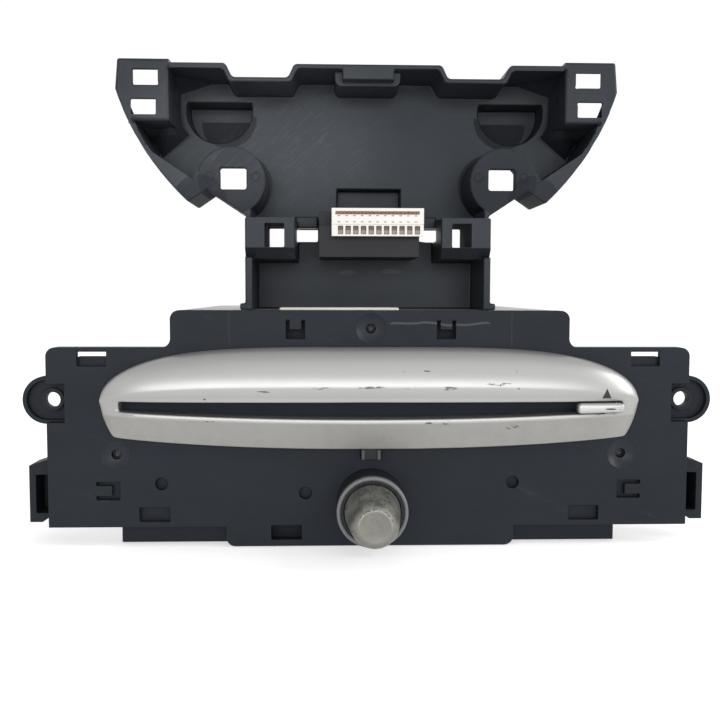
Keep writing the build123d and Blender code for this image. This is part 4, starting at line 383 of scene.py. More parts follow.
@dataclass(frozen=True)
class BracketPlastic(MouldedPlastic):
    """The bracket's plastic, with hairlines across its bed, a painted sheen that pales the bed's left, and dry scuffs
    on its neck.

    Windows and discs are given for the right half and stand on the left as well. A window comes with the Y
    behind which its walls are rough, a disc with the Z below which it is.
    """

    hairline_turn: float = -0.72
    hairline_share: float = 0.40
    # the bed's polished patch; marks() also mixes the paler worn colour into it as a painted sheen
    polish_and_painted_sheen: Patch = Patch(-0.050, 0.180, 0.052, 0.030, 0.95)
    painted_sheen_share: float = 0.26
    polish: float = 0.09
    edge: float = 0.0005
    windows: tuple[tuple[Patch, float], ...] = ((Patch(0.1020, 0.2000, 0.0120, 0.0180), FACE_Y + 0.0365),
                                                (Patch(0.0420, 0.1335, 0.0080, 0.0100), FACE_Y + 0.0310))
    window_rough: float = 0.5
    discs: tuple[tuple[Patch, float], ...] = ((Patch(0.0611, 0.1594, 0.0158, 0.0158), 1.0),
                                              (Patch(0.0669, 0.1918, 0.0142, 0.0142), 0.1925),
                                              (Patch(0.0760, 0.1490, 0.0120, 0.0120), 1.0))
    disc_rough: float = 0.3
    scuffs: tuple[Patch, ...] = (Patch(-0.0090, 0.1177, 0.0040, 0.0011, 0.7, 1.4),
                                 Patch(0.0130, 0.1182, 0.0050, 0.0012, 0.7, 1.4))
    neck_share: float = 0.45

    def marks(self, g: Coat) -> Signal:
        """Fine hairlines that run up to the right, a painted sheen as a paler patch on the bed's left, and the neck's
        scuffs.

        Args:
            g: the material.

        Returns:
            Their strength.
        """
        lines = g.noise(1500, 3, 0.6, g.drawn((14, 1, 1), self.hairline_turn)).above(0.60, 0.05)
        ragged = g.noise(900, 4, 0.7)
        bed = g.patch(self.polish_and_painted_sheen)
        # painted sheen: the bed patch pales the colour where the key light reflects
        total = lines * bed * g.noise(70, 2).above(0.45, 0.12) * self.hairline_share + bed * self.painted_sheen_share
        for spot in self.scuffs:
            total = total + g.patch(spot, ragged) * self.neck_share
        return total

    def matt(self, g: Coat) -> Signal:
        """Rough inside the windows and on the discs, smoother where hands have polished the bed.

        Args:
            g: the material.

        Returns:
            What is added to the roughness.
        """
        across, depth, up = abs(g.axis("X")), g.axis("Y"), g.axis("Z")
        total = g.patch(self.polish_and_painted_sheen) * -self.polish
        for spot, front in self.windows:
            inside = abs(across - spot.x).below(spot.half_x, self.edge) * abs(up - spot.z).below(spot.half_z, self.edge)
            total = total + inside * depth.above(front, self.edge) * self.window_rough
        for spot, top in self.discs:
            disc = ((across - spot.x) ** 2 + (up - spot.z) ** 2).below(spot.half_x ** 2, 0.00001)
            total = total + disc * up.below(top, 0.0002) * self.disc_rough
        return total.least(self.window_rough)


@dataclass(frozen=True)
class SocketFace(MouldedPlastic):
    """White plug housing whose openings show the brown contacts and their carrier inside, darkened by painted shade."""

    mouth: float = 0.0119
    reach: float = 0.0002
    # above this Z the openings get their full painted shade
    sill: float = 0.1354
    lower_contact_and_shade_share: float = 0.72

    def marks(self, g: Coat) -> Signal:
        """Brown in the openings for the contacts and painted shade: full in their upper half, under the top edge, a
        little less in their lower half, none on the front.
        """
        depth = g.axis("Y").above(self.mouth + self.reach, self.reach)
        return depth * (self.lower_contact_and_shade_share + g.axis("Z").above(self.sill, 0.0003) * (1 - self.lower_contact_and_shade_share))

@dataclass(frozen=True)
class SilverPaint(Look):
    """Satin metallic paint on the trim, with painted shade below the ridge and under the slot, scuffs along its ridge,
    small chips and a printed eject mark.
    """

    tone: Colour = (0.372, 0.371, 0.366)
    # painted shade: the darker, warmer tone of the paint below the ridge and under the slot
    painted_shade_tone: Colour = (0.262, 0.257, 0.240)
    sag_z: float = 0.0538
    sag_curve: float = 0.263
    painted_shade_z: float = 0.0665
    painted_shade_soft: float = 0.0022
    bright: Colour = (0.50, 0.50, 0.50)
    chip: Colour = (0.030, 0.031, 0.035)
    dirt: Colour = (0.150, 0.142, 0.120)
    ink: Colour = (0.010, 0.010, 0.012)
    metal: float = 0.72
    roughness: float = 0.36
    flake: float = 0.000008
    mark: Quad = (0.0977, 0.0642, 0.0021, 0.0042)  # the middle's X, the foot's Z, half width, height
    chips: tuple[Patch, ...] = (
        Patch(-0.0684, 0.0643, 0.0006, 0.0004), Patch(-0.0678, 0.0549, 0.0009, 0.0002),
        Patch(-0.0654, 0.0549, 0.0006, 0.0002), Patch(0.0526, 0.0701, 0.0003, 0.0004),
        Patch(0.0601, 0.0687, 0.0004, 0.0003), Patch(0.0235, 0.0541, 0.0014, 0.0004, 0.5, 1.6))
    scuffs: tuple[Patch, ...] = (
        Patch(-0.0440, 0.0675, 0.0034, 0.0004, 0.5, 1.6), Patch(-0.0204, 0.0689, 0.0040, 0.0005, 0.5, 1.6),
        Patch(-0.0010, 0.0693, 0.0062, 0.0006, 0.5, 1.8), Patch(0.0157, 0.0691, 0.0040, 0.0005, 0.5, 1.6),
        Patch(0.0309, 0.0688, 0.0040, 0.0008, 0.5, 1.8), Patch(0.0523, 0.0706, 0.0050, 0.0006, 0.5, 1.6),
        Patch(0.0228, 0.0759, 0.0018, 0.0004, 0.5, 1.2), Patch(0.0310, 0.0543, 0.0022, 0.0010, 0.5, 2.0),
        Patch(0.0582, 0.0524, 0.0030, 0.0012, 0.5, 2.0), Patch(0.0125, 0.0490, 0.0008, 0.0008, 0.5, 1.6))
    def dress(self, g: Coat) -> None:
        """Paints shade as a darker, warmer tone below the ridge and more so under the slot, then adds flakes, dirt,
        chips and print.

        Args:
            g: the material.
        """
        x, z = g.axis("X"), g.axis("Z")
        flake = g.noise(5200, 1, 0.5)
        cloud = g.noise(40, 4)
        # the lower face under the slot: painted shade, dirt and a rougher finish
        low = (z - x * x * self.sag_curve).below(self.sag_z, 0.0006)
        jaw = z.below(self.painted_shade_z, self.painted_shade_soft)
        grime = low * g.noise(150, 4).above(0.55, 0.16) * 0.5
        # painted shade: half the darker warm tone below the ridge, the rest under the slot
        base = g.mix(jaw * 0.5 + low * 0.5, self.tone, self.painted_shade_tone)
        base = g.mix(flake.above(0.5, 0.3) * 0.20 + cloud * 0.10, base, self.bright)
        base = g.mix(grime * 0.22, base, self.dirt)
        wear, mark = self.worn(g), self.printed(g)
        base = g.mix(mark, g.mix(wear * 0.85, base, self.chip), self.ink)
        g.set(Base_Color=base, Metallic=(self.metal - wear * 0.6) * (1 - mark),
              Roughness=self.roughness + (cloud - 0.5) * 0.08 + wear * 0.2 + low * 0.20,
              Normal=g.bump(flake * 0.4 + g.noise(420, 2) * 0.6 - wear * 2.0, self.flake))

    def worn(self, g: Coat) -> Signal:
        """Chips as small ellipses, and scuffs as ellipses kept only where a rubbed noise is high.

        Args:
            g: the material.

        Returns:
            The mask, 1 where the paint is gone.
        """
        rub = g.noise(700, 5, 0.75, g.drawn((4.0, 1, 1)))
        grazed = rub.above(0.535, 0.02)
        total = g.specks(210, 0.045) * g.noise(70, 2).above(0.60, 0.02)
        for spot in self.chips:
            total = total + g.patch(spot, rub)
        for spot in self.scuffs:
            total = total + g.patch(spot, rub) * grazed
        return total.least(1.0)

    def printed(self, g: Coat) -> Signal:
        """The printed triangle: inside where the shares of half width and of height add up to less than 1.

        Args:
            g: the material.

        Returns:
            The mask, 1 on the ink.
        """
        middle, low, half, tall = self.mark
        z = g.axis("Z")
        side = abs(g.axis("X") - middle) / half + (z - low) / tall
        return side.below(1.0, 0.04) * z.above(low, 0.00005)


@dataclass(frozen=True)
class ButtonPaint(SilverPaint):
    """The same paint on the eject button, with few chips and a short printed bar."""

    bar: Patch = Patch(0.0986, 0.0601, 0.0023, 0.00032, 0.2)

    def worn(self, g: Coat) -> Signal:
        """A few small chips."""
        return g.specks(300, 0.05)

    def printed(self, g: Coat) -> Signal:
        """The bar."""
        return g.patch(self.bar)


@dataclass(frozen=True)
class WornKnob(Look):
    """Grey coating of the knob, with a nose paler than its side from rubbing and from painted light, a painted
    highlight on the nose's upper rim, and dark scratches round its side.
    """

    side: Colour = (0.060, 0.062, 0.057)
    pale: Colour = (0.185, 0.185, 0.162)
    nose: Colour = (0.165, 0.160, 0.140)
    dark: Colour = (0.018, 0.017, 0.013)
    # colour of the painted highlight on the nose's upper rim
    bright: Colour = (0.30, 0.29, 0.26)
    nose_y: float = FACE_Y - 0.0426
    rim: float = 0.0066
    bite: float = 0.0069

    def dress(self, g: Coat) -> None:
        """Pales the nose, partly as rubbed wear and partly as painted light, paints a highlight on its upper rim, and
        lays dark lines where a drawn-out noise passes one height.

        Args:
            g: the material.
        """
        x, z = g.axis("X"), g.axis("Z")
        cloud = g.noise(150, 4, 0.6)
        streaks = g.noise(240, 5, 0.7, g.drawn((1, 3.5, 1)))
        front = g.axis("Y").below(self.nose_y, 0.0016)
        radius = (x * x + (z - KNOB_Z) * (z - KNOB_Z)) ** 0.5
        # painted highlight: a bright ring on the nose's rim, only in its upper half
        rim = abs(radius - self.rim).below(0.0004, 0.0004) * z.above(KNOB_Z + 0.001, 0.002)
        line = abs(streaks - 0.49).below(0.016, 0.010) * g.noise(85, 2).above(0.44, 0.05) * (1 - front)
        bite = abs(radius - self.bite).below(0.0003, 0.0003) * g.noise(1100, 3).above(0.50, 0.04)
        base = g.mix(cloud.above(0.50, 0.15) * 0.7 + streaks * 0.25, self.side, self.pale)
        # the front-facing nose paler than the side: rubbed wear and painted light
        base = g.mix(front, base, g.mix(cloud * 0.5, self.nose, self.pale))
        base = g.mix(rim * 0.8, base, self.bright)
        base = g.mix((line + bite * z.above(KNOB_Z + 0.002, 0.002)).least(1.0) * 0.85, base, self.dark)
        g.set(Base_Color=base, Metallic=0.18 + cloud * 0.1, Roughness=0.36 + cloud * 0.16,
              Normal=g.bump(streaks - line * 0.6, 0.00004))


@dataclass(frozen=True)
class SheetMetal(Look):
    """Zinc-plated or bare sheet with rolling lines, spangle and finger marks."""

    tone: Colour = (0.52, 0.52, 0.505)
    dull: Colour = (0.36, 0.355, 0.34)
    roughness: float = 0.36
    spangle: float = 90.0

    def dress(self, g: Coat) -> None:
        """Dulls the sheet by the spangle's cells, the rolling lines and finger marks.

        Args:
            g: the material.
        """
        cell = g.node("ShaderNodeTexVoronoi", {}, {"Vector": g.place(), "Scale": self.spangle}, "Color")
        flower = g.node("ShaderNodeSeparateColor", {}, {0: cell})
        rolled = g.noise(900, 3, 0.6, g.drawn((25, 1, 1)))
        touch = g.noise(35, 4, 0.6).above(0.55, 0.12)
        base = g.mix(flower * 0.35 + rolled * 0.25 + touch * 0.3, self.tone, self.dull)
        g.set(Base_Color=base, Roughness=self.roughness + flower * 0.12 + touch * 0.1 + rolled * 0.06,
              Normal=g.bump(rolled, 0.000006), Metallic=1.0)


@dataclass(frozen=True)
class DrawnMetal(Look):
    """Turned, drawn or stamped metal: pins, shafts, screws, heat sink."""

    tone: Colour
    tarnish: Colour
    roughness: float = 0.3

    def dress(self, g: Coat) -> None:
        """Tarnishes the metal in stains, over fine lines along its length.

        Args:
            g: the material.
        """
        stain = g.noise(160, 4, 0.6)
        lines = g.noise(1800, 2, 0.5, g.drawn((1, 16, 1)))
        g.set(Base_Color=g.mix(stain.above(0.52, 0.2) * 0.6, self.tone, self.tarnish),
              Roughness=self.roughness + stain * 0.16, Normal=g.bump(lines, 0.000008), Metallic=1.0)


@dataclass(frozen=True)
class CircuitBoard(Look):
    """Green solder mask with paler copper traces under it and bright pads."""

    mask: Colour = (0.018, 0.085, 0.035)
    trace: Colour = (0.045, 0.17, 0.07)
    pad: Colour = (0.55, 0.53, 0.48)
    along: str = "Z"

    def dress(self, g: Coat) -> None:
        """Lays traces where the sine of a slightly bent coordinate is high, and pads as specks.

        Args:
            g: the material.
        """
        bend = g.noise(55, 1, 0.3) * 0.02
        stripes = ((g.axis(self.along) + bend) * 3400).sine()
        posts = ((g.axis("X") + bend) * 3100).sine()
        region = g.noise(38, 1, 0.2)
        line = stripes.above(0.55, 0.1) * region.above(0.5, 0.01) + posts.above(0.6, 0.1) * region.below(0.46, 0.01)
        pads = g.specks(340, 0.16) * g.noise(80, 1).above(0.58, 0.02)
        base = g.mix(line.least(1.0), self.mask, self.trace)
        g.set(Base_Color=g.mix(pads, base, self.pad), Metallic=pads * 0.9, Roughness=0.32 - pads * 0.08,
              Normal=g.bump(line + pads * 2.0, 0.00003))


@dataclass(frozen=True)
class SoftSolid(Look):
    """Rubber, felt, foam or mould compound: one tone broken up by its own texture."""

    tone: Colour
    light: Colour
    scale: float
    depth: float
    roughness: float

    def dress(self, g: Coat) -> None:
        """Lightens the tone by the fine texture and a cloud over it.

        Args:
            g: the material.
        """
        pile = g.noise(self.scale, 3, 0.7)
        cloud = g.noise(self.scale * 0.06, 3)
        g.set(Base_Color=g.mix(pile * 0.5 + cloud * 0.4, self.tone, self.light),
              Roughness=self.roughness + (cloud - 0.5) * 0.1, Normal=g.bump(pile, self.depth))


@dataclass(frozen=True)
class SmokedGuide(Look):
    """The light guide's smoky tab with its two paler bars."""

    tab: Colour = (0.008, 0.009, 0.011)
    bar: Colour = (0.060, 0.062, 0.064)
    bar_x: float = 0.0027

    def dress(self, g: Coat) -> None:
        """Pales the tab beyond the bars' distance from its middle.

        Args:
            g: the material.
        """
        haze = g.noise(700, 3)
        side = abs(g.axis("X")).above(self.bar_x, 0.0001)
        g.set(Base_Color=g.mix(side, self.tab, self.bar), Roughness=0.22 + haze * 0.2,
              Normal=g.bump(haze, 0.00001), Specular_IOR_Level=0.3)


@dataclass(frozen=True)
class ClearLens(Look):
    """The pickup's coated lens."""

    tone: Colour
    glare: Colour = (0.8, 0.8, 0.78)

    def dress(self, g: Coat) -> None:
        """Lets light through, under a slight haze.

        Args:
            g: the material.
        """
        haze = g.noise(700, 3)
        g.set(Base_Color=g.mix(haze * 0.4, self.tone, self.glare), Roughness=0.04 + haze * 0.1,
              Transmission_Weight=0.9)


class Finish(Enum):
    """Every finish of the radio."""

    CARRIER = CarrierPlastic("carrier_black", (0.0065, 0.0080, 0.0118), (0.050, 0.053, 0.060), 0.52, 0.000018, 0.36,
                             0.17, COOL)
    # its worn colour is also the painted sheen on the bed
    BRACKET = BracketPlastic("bracket_black", (0.0060, 0.0075, 0.0110), (0.055, 0.058, 0.065), 0.42, 0.000022, 0.42,
                             0.29, COOL)
    FRAME = MouldedPlastic("frame_black", (0.0060, 0.0072, 0.0110), (0.030, 0.033, 0.040), 0.52, 0.00002, 0.3, 0.2,
                           COOL)
    SOCKET = MouldedPlastic("socket_black", (0.0060, 0.0066, 0.0085), (0.040, 0.041, 0.045), 0.44, 0.00001, 0.3, 0.24)
    RING = MouldedPlastic("ring_grey", (0.100, 0.104, 0.104), (0.24, 0.24, 0.23), 0.34, 0.00001, 0.5, 0.5)
    # its worn colour is the contacts' brown with painted shade in the openings
    SOCKET_FACE = SocketFace("socket_face", (0.62, 0.60, 0.56), (0.110, 0.082, 0.060), 0.42, 0.00001, 0.0, 0.4)
    NYLON = MouldedPlastic("housing_white", (0.58, 0.55, 0.49), (0.50, 0.45, 0.37), 0.42, 0.00001, 0.3, 0.5)
    COMB = MouldedPlastic("comb_red_brown", (0.170, 0.066, 0.042), (0.30, 0.16, 0.11), 0.5, 0.00001, 0.6, 0.3)
    FOAM = SoftSolid("foam_cream", (0.56, 0.54, 0.45), (0.66, 0.64, 0.56), 1600, 0.0001, 0.9)
    FLAP = SoftSolid("slot_flap", (0.006, 0.010, 0.017), (0.015, 0.021, 0.031), 2600, 0.00006, 0.85)
    ACETAL = MouldedPlastic("gear_natural", (0.66, 0.64, 0.56), (0.45, 0.42, 0.34), 0.34, 0.000006, 0.3, 0.5)
    SILVER = SilverPaint("trim_silver")
    BUTTON = ButtonPaint("button_silver", (0.42, 0.42, 0.415), (0.42, 0.42, 0.41))
    KNOB = WornKnob("knob_worn")
    SHEET = SheetMetal("zinc_sheet")
    MECH_SHEET = SheetMetal("mechanism_sheet", (0.58, 0.57, 0.54), (0.40, 0.39, 0.37), 0.32, 160.0)
    STEEL = DrawnMetal("bright_steel", (0.56, 0.56, 0.55), (0.36, 0.35, 0.33), 0.26)
    SCREW = DrawnMetal("dark_screw", (0.035, 0.036, 0.040), (0.08, 0.078, 0.075), 0.42)
    SINK = DrawnMetal("sink_aluminium", (0.42, 0.42, 0.43), (0.30, 0.30, 0.30), 0.42)
    COPPER = DrawnMetal("contact_copper", (0.50, 0.24, 0.11), (0.28, 0.13, 0.07), 0.36)
    CAN = DrawnMetal("can_sleeve", (0.48, 0.48, 0.50), (0.30, 0.30, 0.31), 0.3)
    BOARD = CircuitBoard("board_upright")
    MAIN_BOARD = CircuitBoard("board_flat", along="Y")
    RUBBER = SoftSolid("roller_rubber", (0.016, 0.016, 0.016), (0.04, 0.04, 0.04), 1500, 0.00004, 0.72)
    FELT = SoftSolid("slot_felt", (0.008, 0.009, 0.012), (0.030, 0.032, 0.040), 4200, 0.0002, 0.95)
    CHIP = SoftSolid("mould_compound", (0.018, 0.018, 0.02), (0.05, 0.05, 0.05), 2200, 0.00002, 0.6)
    GUIDE = SmokedGuide("guide_smoke")
    LENS = ClearLens("lens_coated", (0.35, 0.50, 0.78))


_MATERIALS: dict[Finish, bpy.types.Material] = {}


def paint(obj: bpy.types.Object, finish: Finish) -> None:
    """Gives an object one finish.

    Args:
        obj: a mesh object.
        finish: what it is made of.
    """
    if finish not in _MATERIALS:
        _MATERIALS[finish] = finish.value.material()
    obj.data.materials.clear()
    obj.data.materials.append(_MATERIALS[finish])
    LOG.info("%s is finished as %s", obj.name, finish.name.lower())


def paint_nodes(groups: dict[Finish, tuple[str, ...]]) -> None:
    """Gives CAD nodes, grouped by finish, their finishes.

    Args:
        groups: the nodes' names for each finish.
    """
    for finish, nodes in groups.items():
        for node in nodes:
            paint(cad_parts[node], finish)


# ---------------------------------------------------------------- meshes

def link_mesh(name: str, points: np.ndarray, faces: list[list[int]], smooth: bool = True) -> bpy.types.Object:
    """Makes an object from arrays.

    Args:
        name: its name.
        points: N by 3 places.
        faces: the corner numbers of each face.
        smooth: whether its faces shade smoothly.

    Returns:
        The object, linked to the scene.
    """
    mesh = bpy.data.meshes.new(name)
    mesh.from_pydata(points.tolist(), [], faces)
    mesh.update()
    mesh.polygons.foreach_set("use_smooth", np.full(len(mesh.polygons), smooth))
    return link_object(name, mesh)


def link_object(name: str, mesh: bpy.types.Mesh) -> bpy.types.Object:
    """Puts a mesh into the scene as an object at the origin.

    Args:
        name: the object's name.
        mesh: its mesh.

    Returns:
        The object.
    """
    obj = bpy.data.objects.new(name, mesh)
    bpy.context.scene.collection.objects.link(obj)
    return obj


def mesh_points(mesh: bpy.types.Mesh) -> np.ndarray:
    """Reads a mesh's vertices.

    Args:
        mesh: any mesh.

    Returns:
        N by 3 places.
    """
    points = np.empty(3 * len(mesh.vertices))
    mesh.vertices.foreach_get("co", points)
    return points.reshape(-1, 3)


def grid_faces(rows: int, columns: int, wrap_rows: bool = False, wrap_columns: bool = True) -> np.ndarray:
    """Numbers the quads of a grid.

    Args:
        rows: how many rows of points it has.
        columns: how many points a row has.
        wrap_rows: whether the last row joins the first.
        wrap_columns: whether the last column joins the first.

    Returns:
        M by 4 corner numbers.
    """
    r = np.arange(rows if wrap_rows else rows - 1)
    c = np.arange(columns if wrap_columns else columns - 1)
    r, c = (a.ravel() for a in np.meshgrid(r, c, indexing="ij"))
    r1, c1 = (r + 1) % rows, (c + 1) % columns
    return np.stack([r * columns + c, r * columns + c1, r1 * columns + c1, r1 * columns + c], axis=1)


def outward(obj: bpy.types.Object) -> bpy.types.Object:
    """Merges doubles, turns a closed mesh's faces outwards and marks its sharp edges.

    Args:
        obj: a mesh object.

    Returns:
        The object.
    """
    work = bmesh.new()
    work.from_mesh(obj.data)
    bmesh.ops.remove_doubles(work, verts=work.verts, dist=DOUBLES)
    bmesh.ops.dissolve_degenerate(work, edges=work.edges, dist=DOUBLES)
    bmesh.ops.recalc_face_normals(work, faces=work.faces)
    mark_sharp(work)
    work.to_mesh(obj.data)
    work.free()
    obj.data.update()
    return obj


def mark_sharp(work: bmesh.types.BMesh) -> None:
    """Marks the edges that stay sharp in smooth shading."""
    for edge in work.edges:
        edge.smooth = len(edge.link_faces) == 2 and edge.calc_face_angle(0.0) < SHARP


def turns(steps: int) -> np.ndarray:
    """The angles of one whole turn in even steps."""
    return np.linspace(0, 2 * np.pi, steps, endpoint=False)


def upright(places: np.ndarray, depth: np.ndarray | float) -> np.ndarray:
    """Puts places (x, z) of the front view at a depth, or each at its own, as (x, y, z)."""
    return np.column_stack([places[:, 0], np.full(len(places), depth), places[:, 1]])


def revolved(name: str, profile: np.ndarray, centre: Triple, steps: int) -> bpy.types.Object:
    """Turns a profile round an axis along Y.

    The surface is centre + (radius cos a, y, radius sin a) for every angle a and profile point.

    Args:
        name: its name.
        profile: N by 2 places (radius, y), closed or ending on the axis.
        centre: where the axis is, and what the profile's y starts from.
        steps: how many angles a turn has.

    Returns:
        The closed shape.
    """
    angle = turns(steps)
    radius, depth = profile[:, :1], profile[:, 1:]
    x = centre[0] + radius * np.cos(angle)
    z = centre[2] + radius * np.sin(angle)
    y = centre[1] + depth + np.zeros_like(x)
    points = np.stack([x, y, z], axis=2).reshape(-1, 3)
    return outward(link_mesh(name, points, grid_faces(len(profile), steps).tolist()))


def pillow(name: str, outline: np.ndarray, back: float, front: float, ease: float) -> bpy.types.Object:
    """Makes a block over a closed outline in the front view, with its front edge rounded.

    Every ring is the outline moved inwards along its normals by ease (1 - cos a), at the depth
    front + ease (1 - sin a), as a goes from 0 to a quarter turn; both faces close on their middles.

    Args:
        name: its name.
        outline: N by 2 places (x, z), anticlockwise.
        back: Y of its back.
        front: Y of its front.
        ease: radius of the rounded edge.

    Returns:
        The closed block.
    """
    along = np.roll(outline, -1, axis=0) - np.roll(outline, 1, axis=0)
    inward = np.stack([-along[:, 1], along[:, 0]], axis=1) / np.linalg.norm(along, axis=1, keepdims=True)
    middle = np.repeat(outline.mean(axis=0, keepdims=True), len(outline), axis=0)
    rows = [(middle, back), (outline, back)]
    rows += [(outline + inward * ease * (1 - math.cos(a)), front + ease * (1 - math.sin(a)))
             for a in np.linspace(0, np.pi / 2, 6)]
    rows.append((middle, front))
    points = np.concatenate([upright(ring, y) for ring, y in rows])
    return outward(link_mesh(name, points, grid_faces(len(rows), len(outline)).tolist()))


def rounded(x0: float, x1: float, z0: float, z1: float, corner: float) -> np.ndarray:
    """A rectangle's outline with quarter circles at its corners.

    Args:
        x0: its left side.
        x1: its right side.
        z0: its lower side.
        z1: its upper side.
        corner: the circles' radius.

    Returns:
        32 by 2 places (x, z), anticlockwise.
    """
    turn = turns(32) + np.pi / 32
    side = np.stack([np.sign(np.cos(turn)), np.sign(np.sin(turn))], axis=1)
    half = np.array([x1 - x0, z1 - z0]) / 2 - corner
    return np.array([x0 + x1, z0 + z1]) / 2 + side * half + corner * np.stack([np.cos(turn), np.sin(turn)], axis=1)


def repeated(name: str, sample: bpy.types.Object, places: np.ndarray) -> bpy.types.Object:
    """Copies a sample's mesh to each place, as one piece, and removes the sample.

    Args:
        name: the piece's name.
        sample: what is copied.
        places: N by 3 shifts.

    Returns:
        The piece.
    """
    points = mesh_points(sample.data)
    corners = [list(face.vertices) for face in sample.data.polygons]
    shifted = (points[None] + places[:, None]).reshape(-1, 3)
    faces = [[c + step * len(points) for c in corner] for step in range(len(places)) for corner in corners]
    mesh = sample.data
    bpy.data.objects.remove(sample)
    bpy.data.meshes.remove(mesh)
    return outward(link_mesh(name, shifted, faces))


def install(piece: bpy.types.Object, finish: Finish, body: str, slot: str, *nodes: str) -> bpy.types.Object:
    """Paints a piece, lets it ride on a body and hides the CAD nodes it stands for.

    Args:
        piece: the new piece.
        finish: what it is made of.
        body: the body it rides on.
        slot: the record's material slot; not used.
        nodes: the CAD nodes it replaces.

    Returns:
        The piece.
    """
    paint(piece, finish)
    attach(piece, body)
    if nodes:
        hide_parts(*nodes)
    LOG.info("%s rides on %s and stands for %s", piece.name, body, ", ".join(nodes) or "no node")
    return piece


@dataclass(frozen=True)
class EasedEdges:
    """Rounds a CAD node's sharp edges as its mould or press does, leaving out those that have no room."""

    width: float
    segments: int = 2
    rounds: int = 8
    room: float = 2.5
    wide: float = 0.0
    wide_zone: Quad = (0.0885, 0.0256, 0.1825, 0.0125)  # beyond X, before Y, above Z; longer than

    def sharp(self, whole: bmesh.types.BMesh) -> list[bmesh.types.BMEdge]:
        """Numbers a mesh's edges anew and finds the sharp ones.

        Args:
            whole: a mesh.

        Returns:
            Its edges between two faces that meet at more than the limit.
        """
        whole.edges.ensure_lookup_table()
        whole.edges.index_update()
        return [e for e in whole.edges if len(e.link_faces) == 2 and e.calc_face_angle(0.0) > SHARP]

    def soften(self, whole: bmesh.types.BMesh) -> bmesh.types.BMesh:
        """Rounds the long front edges of the corner pads wider than the rest, if they have room.

        Args:
            whole: the node's mesh, freed if it is rounded.

        Returns:
            The rounded mesh, or the same one.
        """
        x, y, z, long = self.wide_zone
        picks = [e.index for e in self.sharp(whole)
                 if e.calc_length() > long and all(abs(v.co.x) > x and v.co.y < y and v.co.z > z for v in e.verts)]
        if not self.wide or not picks:
            return whole
        softer = replace(self, width=self.wide, segments=4).cut(whole, picks)
        if self.crossings(softer):
            LOG.info("no room for wide edges")
            softer.free()
            return whole
        LOG.info("%d wide edges", len(picks))
        whole.free()
        return softer

    def cut(self, whole: bmesh.types.BMesh, keys: list[int]) -> bmesh.types.BMesh:
        """Bevels a copy's edges and splits its faces into triangles.

        Args:
            whole: the mesh that is copied.
            keys: numbers of the edges.

        Returns:
            The copy.
        """
        work = whole.copy()
        work.edges.ensure_lookup_table()
        bmesh.ops.bevel(work, geom=[work.edges[i] for i in keys], offset=self.width, offset_type="OFFSET",
                        segments=self.segments, profile=0.5, affect="EDGES", clamp_overlap=False,
                        loop_slide=False, material=-1, miter_outer="SHARP")
        bmesh.ops.triangulate(work, faces=work.faces)
        work.faces.ensure_lookup_table()
        return work

    def crossings(self, work: bmesh.types.BMesh) -> list[Vector]:
        """Finds the small faces that cut through a face they do not touch.

        Args:
            work: a bevelled mesh.

        Returns:
            Their middles.
        """
        tree = BVHTree.FromBMesh(work)
        corners = [{v.index for v in f.verts} for f in work.faces]
        hit = {n for a, b in tree.overlap(tree) if a < b and not corners[a] & corners[b] for n in (a, b)}
        largest = (4 * self.width) ** 2
        return [work.faces[n].calc_center_median() for n in sorted(hit) if work.faces[n].calc_area() < largest]

    def clear(self, whole: bmesh.types.BMesh, keys: list[int], places: list[Vector]) -> list[int]:
        """Drops the edges that pass nearer to a place than the room they need.

        Args:
            whole: the mesh before its bevel.
            keys: numbers of its edges.
            places: where the bevel cut through itself.

        Returns:
            The numbers that stay.
        """
        near = KDTree(len(places))
        for number, place in enumerate(places):
            near.insert(place, number)
        near.balance()
        kept = []
        for key in keys:
            a, b = (v.co for v in whole.edges[key].verts)
            steps = max(1, math.ceil((b - a).length / self.width))
            if all(near.find(a.lerp(b, i / steps))[2] > self.width * self.room for i in range(steps + 1)):
                kept.append(key)
        return kept

    def mesh(self, node: str) -> bpy.types.Mesh:
        """Makes the eased mesh of a CAD node.

        Args:
            node: the CAD node, whose own mesh is left alone.

        Returns:
            A new mesh with smooth shading and its remaining sharp edges marked.
        """
        whole = bmesh.new()
        whole.from_mesh(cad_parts[node].data)
        bmesh.ops.remove_doubles(whole, verts=whole.verts, dist=MERGE)
        whole = self.soften(whole)
        keys = [e.index for e in self.sharp(whole)]
        for _ in range(self.rounds):
            work = self.cut(whole, keys)
            places = self.crossings(work)
            if not places:
                break
            keys = self.clear(whole, keys, places)
            work.free()
        else:
            work = self.cut(whole, keys)
        mark_sharp(work)
        mesh = bpy.data.meshes.new(node + "_eased")
        work.to_mesh(mesh)
        work.free()
        whole.free()
        mesh.polygons.foreach_set("use_smooth", np.full(len(mesh.polygons), True))
        LOG.info("%s eased along %d edges", node, len(keys))
        return mesh

    def piece(self, node: str, finish: Finish, slot: str = "black_plastic") -> bpy.types.Object:
        """Stands for a CAD node of the radio's own body, with its edges eased.

        Args:
            node: the CAD node.
            finish: what the piece is made of.
            slot: the record's material slot.

        Returns:
            The new piece, which replaces the node.
        """
        piece = link_object(node + "_eased", self.mesh(node))
        weigh = piece.modifiers.new("flat_faces", "WEIGHTED_NORMAL")
        weigh.mode = "FACE_AREA"
        weigh.keep_sharp = True
        return install(piece, finish, "radio", slot, node)


# ---------------------------------------------------------------- sub-assemblies

